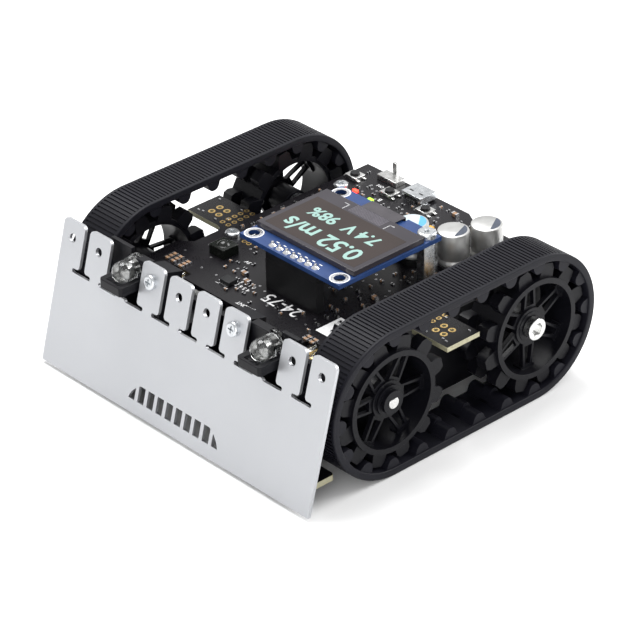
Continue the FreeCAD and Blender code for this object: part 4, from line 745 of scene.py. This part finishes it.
# -------------------------------------------------------------- main board
def board_details():
    """Plating, chip parts, marks and pads on the main board's deck."""
    _, high = millimetres("main_board")
    deck = high.z
    rng = random.Random(24)
    # plated wing holes
    wing = []
    for sign in (-1, 1):
        for i in (0, 1):
            for j in (0, 1):
                wing.append((sign * (WING_HOLE_X - WING_HOLE_PITCH * i), WING_HOLE_Y + WING_HOLE_PITCH * j,
                             deck, 0))
    scatter("wing_hole_rings", wing, ring_shape(0.53, 0.95, 0.05, 24), GOLD, "pin_metal")
    scatter("wing_specks", [(sign * x, y, deck, 0) for sign in (-1, 1)
                            for x, y in ((44.6, 0.6), (43.2, 0.9), (36.8, 8.1), (44.9, 7.9), (38.0, 0.4),
                                         (35.6, 2.5))],
            block_shape(0.7, 0.35, 0.25), SOLDER, "pin_metal")
    # resistor and capacitor ends
    for node, cap in (("resistors", 0.35), ("small_capacitors", 0.42)):
        boxes = [(lo / MM, hi / MM) for lo, hi in islands(node)]
        size = boxes[0][1] - boxes[0][0]
        scatter(node + "_ends", [((lo.x + hi.x) / 2, (lo.y + hi.y) / 2, lo.z, 0) for lo, hi in boxes],
                ends_shape(size.x, size.y, size.z, cap), SOLDER, "pin_metal")
    # tiny chip parts at random places, clear of the tall pieces
    blocked = []
    for node in ("chips", "resistors", "small_capacitors", "button_bodies", "capacitor_bases", "board_screws",
                 "proximity_sensors", "usb_socket", "switch_body", "display_socket", "display_standoff",
                 "power_led", "user_led"):
        blocked += [(lo / MM, hi / MM) for lo, hi in islands(node)]

    def clear(x, y, room):
        return all(x < lo.x - room or x > hi.x + room or y < lo.y - room or y > hi.y + room for lo,
                   hi in blocked)

    tiny, dark = [], []
    while len(tiny) + len(dark) < 150:
        x = rng.uniform(-31.0, 31.0)
        y = rng.uniform(-21.0, 45.0)
        turn = rng.choice((0, 90))
        if abs(x) > 31.5 - 0.0 or not clear(x, y, 1.1):
            continue
        blocked.append((Vector((x - 0.5, y - 0.5, 0)), Vector((x + 0.5, y + 0.5, 0))))
        (tiny if rng.random() < 0.5 else dark).append((x, y, deck, turn))
    scatter("tiny_capacitors", tiny, block_shape(1.0, 0.5, 0.5), CERAMIC, "resistor_ceramic")
    scatter("tiny_resistors", dark, block_shape(1.0, 0.5, 0.34), CHIP, "chip_epoxy")
    scatter("tiny_capacitor_ends", tiny, ends_shape(1.0, 0.5, 0.5, 0.25), SOLDER, "pin_metal")
    scatter("tiny_resistor_ends", dark, ends_shape(1.0, 0.5, 0.34, 0.22), SOLDER, "pin_metal")
    # vias and test pads
    vias = []
    while len(vias) < 130:
        x = rng.uniform(-31.5, 31.5)
        y = rng.uniform(-22.0, 45.0)
        if clear(x, y, 0.5):
            vias.append((x, y, deck, 0))
    scatter("via_rings", vias, ring_shape(0.16, 0.32, 0.02, 10), SOLDER, "pin_metal")
    # copper runs under the mask
    runs = []
    for _ in range(46):
        x = rng.uniform(-29, 29)
        y = rng.uniform(-20, 43)
        angle = rng.choice((0, 90, 45, -45))
        for lane in range(rng.randint(2, 5)):
            shift = 0.55 * lane
            px = x - shift * math.sin(math.radians(angle))
            py = y + shift * math.cos(math.radians(angle))
            if abs(px) < 29.5 and -21 < py < 44:
                runs.append((px, py, deck, angle))
    scatter("copper_runs", runs, block_shape(5.2, 0.24, 0.012), TRACE, "circuit_board")
    # white markings
    frames = []
    for lo, hi in islands("chips"):
        lo, hi = lo / MM, hi / MM
        frames.append((lo.x - 0.35, lo.y - 0.5, deck, 0))
        frames.append((hi.x + 0.35, hi.y + 0.5, deck, 90))
    scatter("chip_corner_marks", frames, block_shape(1.1, 0.16, 0.02), INK, "circuit_board")
    lettering("board_marks", [
        ("A", -29.2, 36.6, deck, 1.9, 180),
        ("B", -16.3, 36.6, deck, 1.9, 180),
        ("C", -3.4, 36.6, deck, 1.9, 180),
        ("24-75", 5.2, -15.6, deck, 5.4, 180),
        ("0 1 2 3", -7.8, -15.0, deck, 1.7, 180),
        ("4 5 6 7", -7.8, -17.0, deck, 1.7, 180),
        ("FRONT", -1.0, -22.4, deck, 1.6, 180),
        ("5V", -16.0, -8.0, deck, 1.5, 180),
        ("ON", -21.4, 41.6, deck, 1.4, 180),
        ("+", 30.2, 26.0, deck, 2.4, 180),
        ("R", 25.5, 2.0, deck, 1.6, 180),
        ("L", -25.5, 2.0, deck, 1.6, 180),
        ("3V3", 24.0, -12.6, deck, 1.4, 180),
        ("-", 30.2, 22.5, deck, 2.4, 180)], INK, "circuit_board", bold=0.02)
    # gold pads between the wing and the display, and by the screw
    pads = [(sign * x, HEADER_PAD_Y + HEADER_PAD_PITCH * k, deck, 0)
            for sign in (-1, 1) for x in HEADER_PAD_X for k in range(HEADER_PADS)]
    pads += [(-22.8 - 1.6 * k, -1.8, deck, 0) for k in (0, 1)]
    scatter("header_pads", [p for p in pads if clear(p[0], p[1], 0.4)], ring_shape(0.38, 0.72, 0.04, 20),
            GOLD, "pin_metal")
    # direction mark near the right front corner
    bm = bmesh.new()
    add_block(bm, Vector((19.2, -17.8, deck)) * MM, Vector((27.6, -9.6, deck + 0.02)) * MM)
    keep(to_object(outward(bm), "direction_patch", INK), ROOT, "circuit_board")
    bm = bmesh.new()
    arrow = [(23.4, -16.9), (26.6, -12.6), (24.6, -12.6), (24.6, -10.6), (22.2, -10.6), (22.2, -12.6),
             (20.2, -12.6)]
    layers = [[bm.verts.new(Vector((x, y, deck + z)) * MM) for x, y in arrow] for z in (0.0, 0.04)]
    bm.faces.new(layers[0])
    bm.faces.new(layers[1])
    for k in range(len(arrow)):
        n = (k + 1) % len(arrow)
        bm.faces.new((layers[0][k], layers[0][n], layers[1][n], layers[1][k]))
    keep(to_object(outward(bm), "direction_arrow", MASK), ROOT, "circuit_board")
    # legs along two sides of each larger chip
    legs = []
    for lo, hi in islands("chips"):
        lo, hi = lo / MM, hi / MM
        if min(hi.x - lo.x, hi.y - lo.y) < 2.4:
            continue
        count = int((hi.x - lo.x - 0.6) / 0.65) + 1
        start = (lo.x + hi.x) / 2 - 0.325 * (count - 1)
        for k in range(count):
            for y in (lo.y - 0.2, hi.y + 0.2):
                legs.append((start + 0.65 * k, y, deck, 0))
    scatter("chip_legs", legs, block_shape(0.28, 0.75, 0.22), SOLDER, "pin_metal")
    # tantalum blocks near the cans
    amber = [(16.4, 38.8, deck, 0), (28.6, 13.2, deck, 90), (4.6, 33.4, deck, 90)]
    amber = [p for p in amber if clear(p[0], p[1], 0.2)] or amber[:1]
    scatter("amber_capacitors", amber, block_shape(3.0, 1.6, 1.5, 0.1), AMBER, "resistor_ceramic")


def can_details():
    """Crimped cans with a printed segment on each top."""
    bm = bmesh.new()
    for index, (lo, hi) in enumerate(islands("capacitor_cans")):
        centre = (lo + hi) / 2
        radius = (hi.x - lo.x) / 2
        height = hi.z - lo.z
        outline = [(0, 0), (0, radius - 0.3 * MM), (0.3 * MM, radius), (1.1 * MM, radius),
                   (1.5 * MM, radius - 0.3 * MM),
                   (1.8 * MM, radius - 0.3 * MM), (2.2 * MM, radius), (height - 0.5 * MM, radius),
                   (height - 0.15 * MM, radius - 0.12 * MM), (height, radius - 0.5 * MM), (height, 0)]
        add_lathe(bm, outline, (centre.x, centre.y, lo.z), (0, 0, 1), 48)
        mark = bmesh.new()
        rim = []
        turn = (40, 20, 30)[index % 3]
        for k in range(25):
            a = math.radians(turn - 62 + 124 * k / 24)
            rim.append((centre.x + (radius - 0.6 * MM) * math.cos(a),
                        centre.y + (radius - 0.6 * MM) * math.sin(a)))
        layers = [[mark.verts.new((x, y, hi.z + z)) for x, y in rim] for z in (0, 0.00003)]
        mark.faces.new(layers[1])
        mark.faces.new(layers[0])
        for k in range(25):
            n = (k + 1) % 25
            mark.faces.new((layers[0][k], layers[0][n], layers[1][n], layers[1][k]))
        shade = CAN_BLUE if index == 0 else CAN_MARK
        keep(to_object(outward(mark), "can_segment_%d" % index, shade), ROOT, "capacitor_aluminium")
        if index == 0:
            scatter("can_cap_label", [(centre.x / MM, centre.y / MM, hi.z / MM, 0)],
                    turned_shape([(0, 0), (0, 3.4), (0.015, 3.4), (0.015, 0)], 40), CAN_WHITE,
                    "capacitor_aluminium")
    keep(to_object(outward(bm), "crimped_cans", CAN, 40.0), ROOT, "capacitor_aluminium", "capacitor_cans")


def emitter_details():
    """Reflector cup, back plate and two wires seen inside each clear emitter."""
    cups = bmesh.new()
    for lo, hi in islands("infrared_leds"):
        x = (lo.x + hi.x) / 2 / MM
        tip = lo.y / MM
        axis_z = hi.z / MM - 3.2
        add_lathe(cups, [(along * MM, radius * MM) for along, radius in
                         ((0.5, 0.0), (0.5, 0.3), (0, 1.15), (0, 1.45), (1.5, 1.3), (1.5, 0.0))],
                  (x * MM, (tip + 3.3) * MM, axis_z * MM), (0, 1, 0), 24)
        add_lathe(cups, [(0, 0), (0, 2.3 * MM), (0.3 * MM, 2.3 * MM), (0.3 * MM, 0)],
                  (x * MM, (tip + 6.6) * MM, axis_z * MM), (0, 1, 0), 24)
        for dx in (-0.75, 0.75):
            add_block(cups, Vector((x + dx - 0.3, tip + 4.6, axis_z - 0.3)) * MM,
                      Vector((x + dx + 0.3, tip + 7.6, axis_z + 0.3)) * MM)
    keep(to_object(outward(cups), "emitter_leadframes", STEEL, 40.0), ROOT, "pin_metal")


def socket_details():
    """Dark mouth and latch slots of the connector, with its contacts and side tabs."""
    low, high = millimetres("usb_socket")
    middle = (low.x + high.x) / 2
    scatter("socket_back", [(middle, low.y - 0.01, low.z + 0.5, 0)], block_shape(4.6, 0.05, 1.5), NYLON,
            "connector_steel")
    scatter("socket_contacts", [(middle - 1.3 + 0.65 * k, low.y - 0.25, low.z, 0) for k in range(5)],
            block_shape(0.32, 0.5, 1.2), SOLDER, "connector_steel")
    scatter("latch_slots", [(middle + dx, low.y + 1.9, high.z, 0) for dx in (-1.7, 1.7)],
            block_shape(1.3, 0.5, 0.02), NYLON, "connector_steel")
    scatter("socket_tabs", [(low.x + 0.1, low.y + 2.4, low.z, 0), (high.x - 0.1, low.y + 2.4, low.z, 0)],
            block_shape(0.9, 1.3, 0.12), SOLDER, "connector_steel")


# -------------------------------------------------------------------- studio
CAMERA_PLACE = (0.5196, -0.46124, 0.42973)
CAMERA_TURN, CAMERA_RISE, CAMERA_ROLL = 48.355, 30.972, -1.439
CAMERA_LENS = 186.1


def camera():
    a, e, r = (math.radians(v) for v in (CAMERA_TURN, CAMERA_RISE, CAMERA_ROLL))
    back = Vector((math.sin(a) * math.cos(e), -math.cos(a) * math.cos(e), math.sin(e)))
    right = Vector((0, 0, 1)).cross(back).normalized()
    up = back.cross(right)
    tilted_right = right * math.cos(r) + up * math.sin(r)
    tilted_up = up * math.cos(r) - right * math.sin(r)
    data = bpy.data.cameras.new("camera")
    data.lens = CAMERA_LENS
    data.sensor_width = 36
    data.clip_start = 0.01
    eye = bpy.data.objects.new("camera", data)
    turn = Matrix((tilted_right, tilted_up, back)).transposed()
    eye.matrix_world = Matrix.Translation(CAMERA_PLACE) @ turn.to_4x4()
    bpy.context.collection.objects.link(eye)
    bpy.context.scene.camera = eye


def lamp(name, place, size, power, target=(0, 0, 0.02)):
    data = bpy.data.lights.new(name, "AREA")
    data.size = size
    data.energy = power
    light = bpy.data.objects.new(name, data)
    light.location = place
    light.rotation_euler = (Vector(target) - Vector(place)).to_track_quat("-Z", "Y").to_euler()
    bpy.context.collection.objects.link(light)


def studio():
    world = bpy.data.worlds.new("studio")
    bpy.context.scene.world = world
    world.use_nodes = True
    world.node_tree.nodes["Background"].inputs["Color"].default_value = (1.0, 1.0, 1.0, 1)
    world.node_tree.nodes["Background"].inputs["Strength"].default_value = 0.8
    lamp("key", (-0.30, 0.10, 0.80), 0.5, 8.0)
    lamp("rim", (0.30, 0.65, 0.45), 0.4, 5.0)
    lamp("fill", (0.55, -0.65, 0.30), 0.6, 3.0)
    bpy.context.scene.view_settings.view_transform = "Standard"
    bm = bmesh.new()
    bmesh.ops.create_grid(bm, x_segments=1, y_segments=1, size=4.0)
    floor = to_object(bm, "floor",
                      finish("floor", (0.86, 0.86, 0.86), (0.84, 0.84, 0.84), (0.7, 0.8), grain=50, bump=0.0))
    floor.location.z = -0.0001


finishes()
tracks()
display_details()
board_details()
can_details()
emitter_details()
socket_details()
camera()
studio()
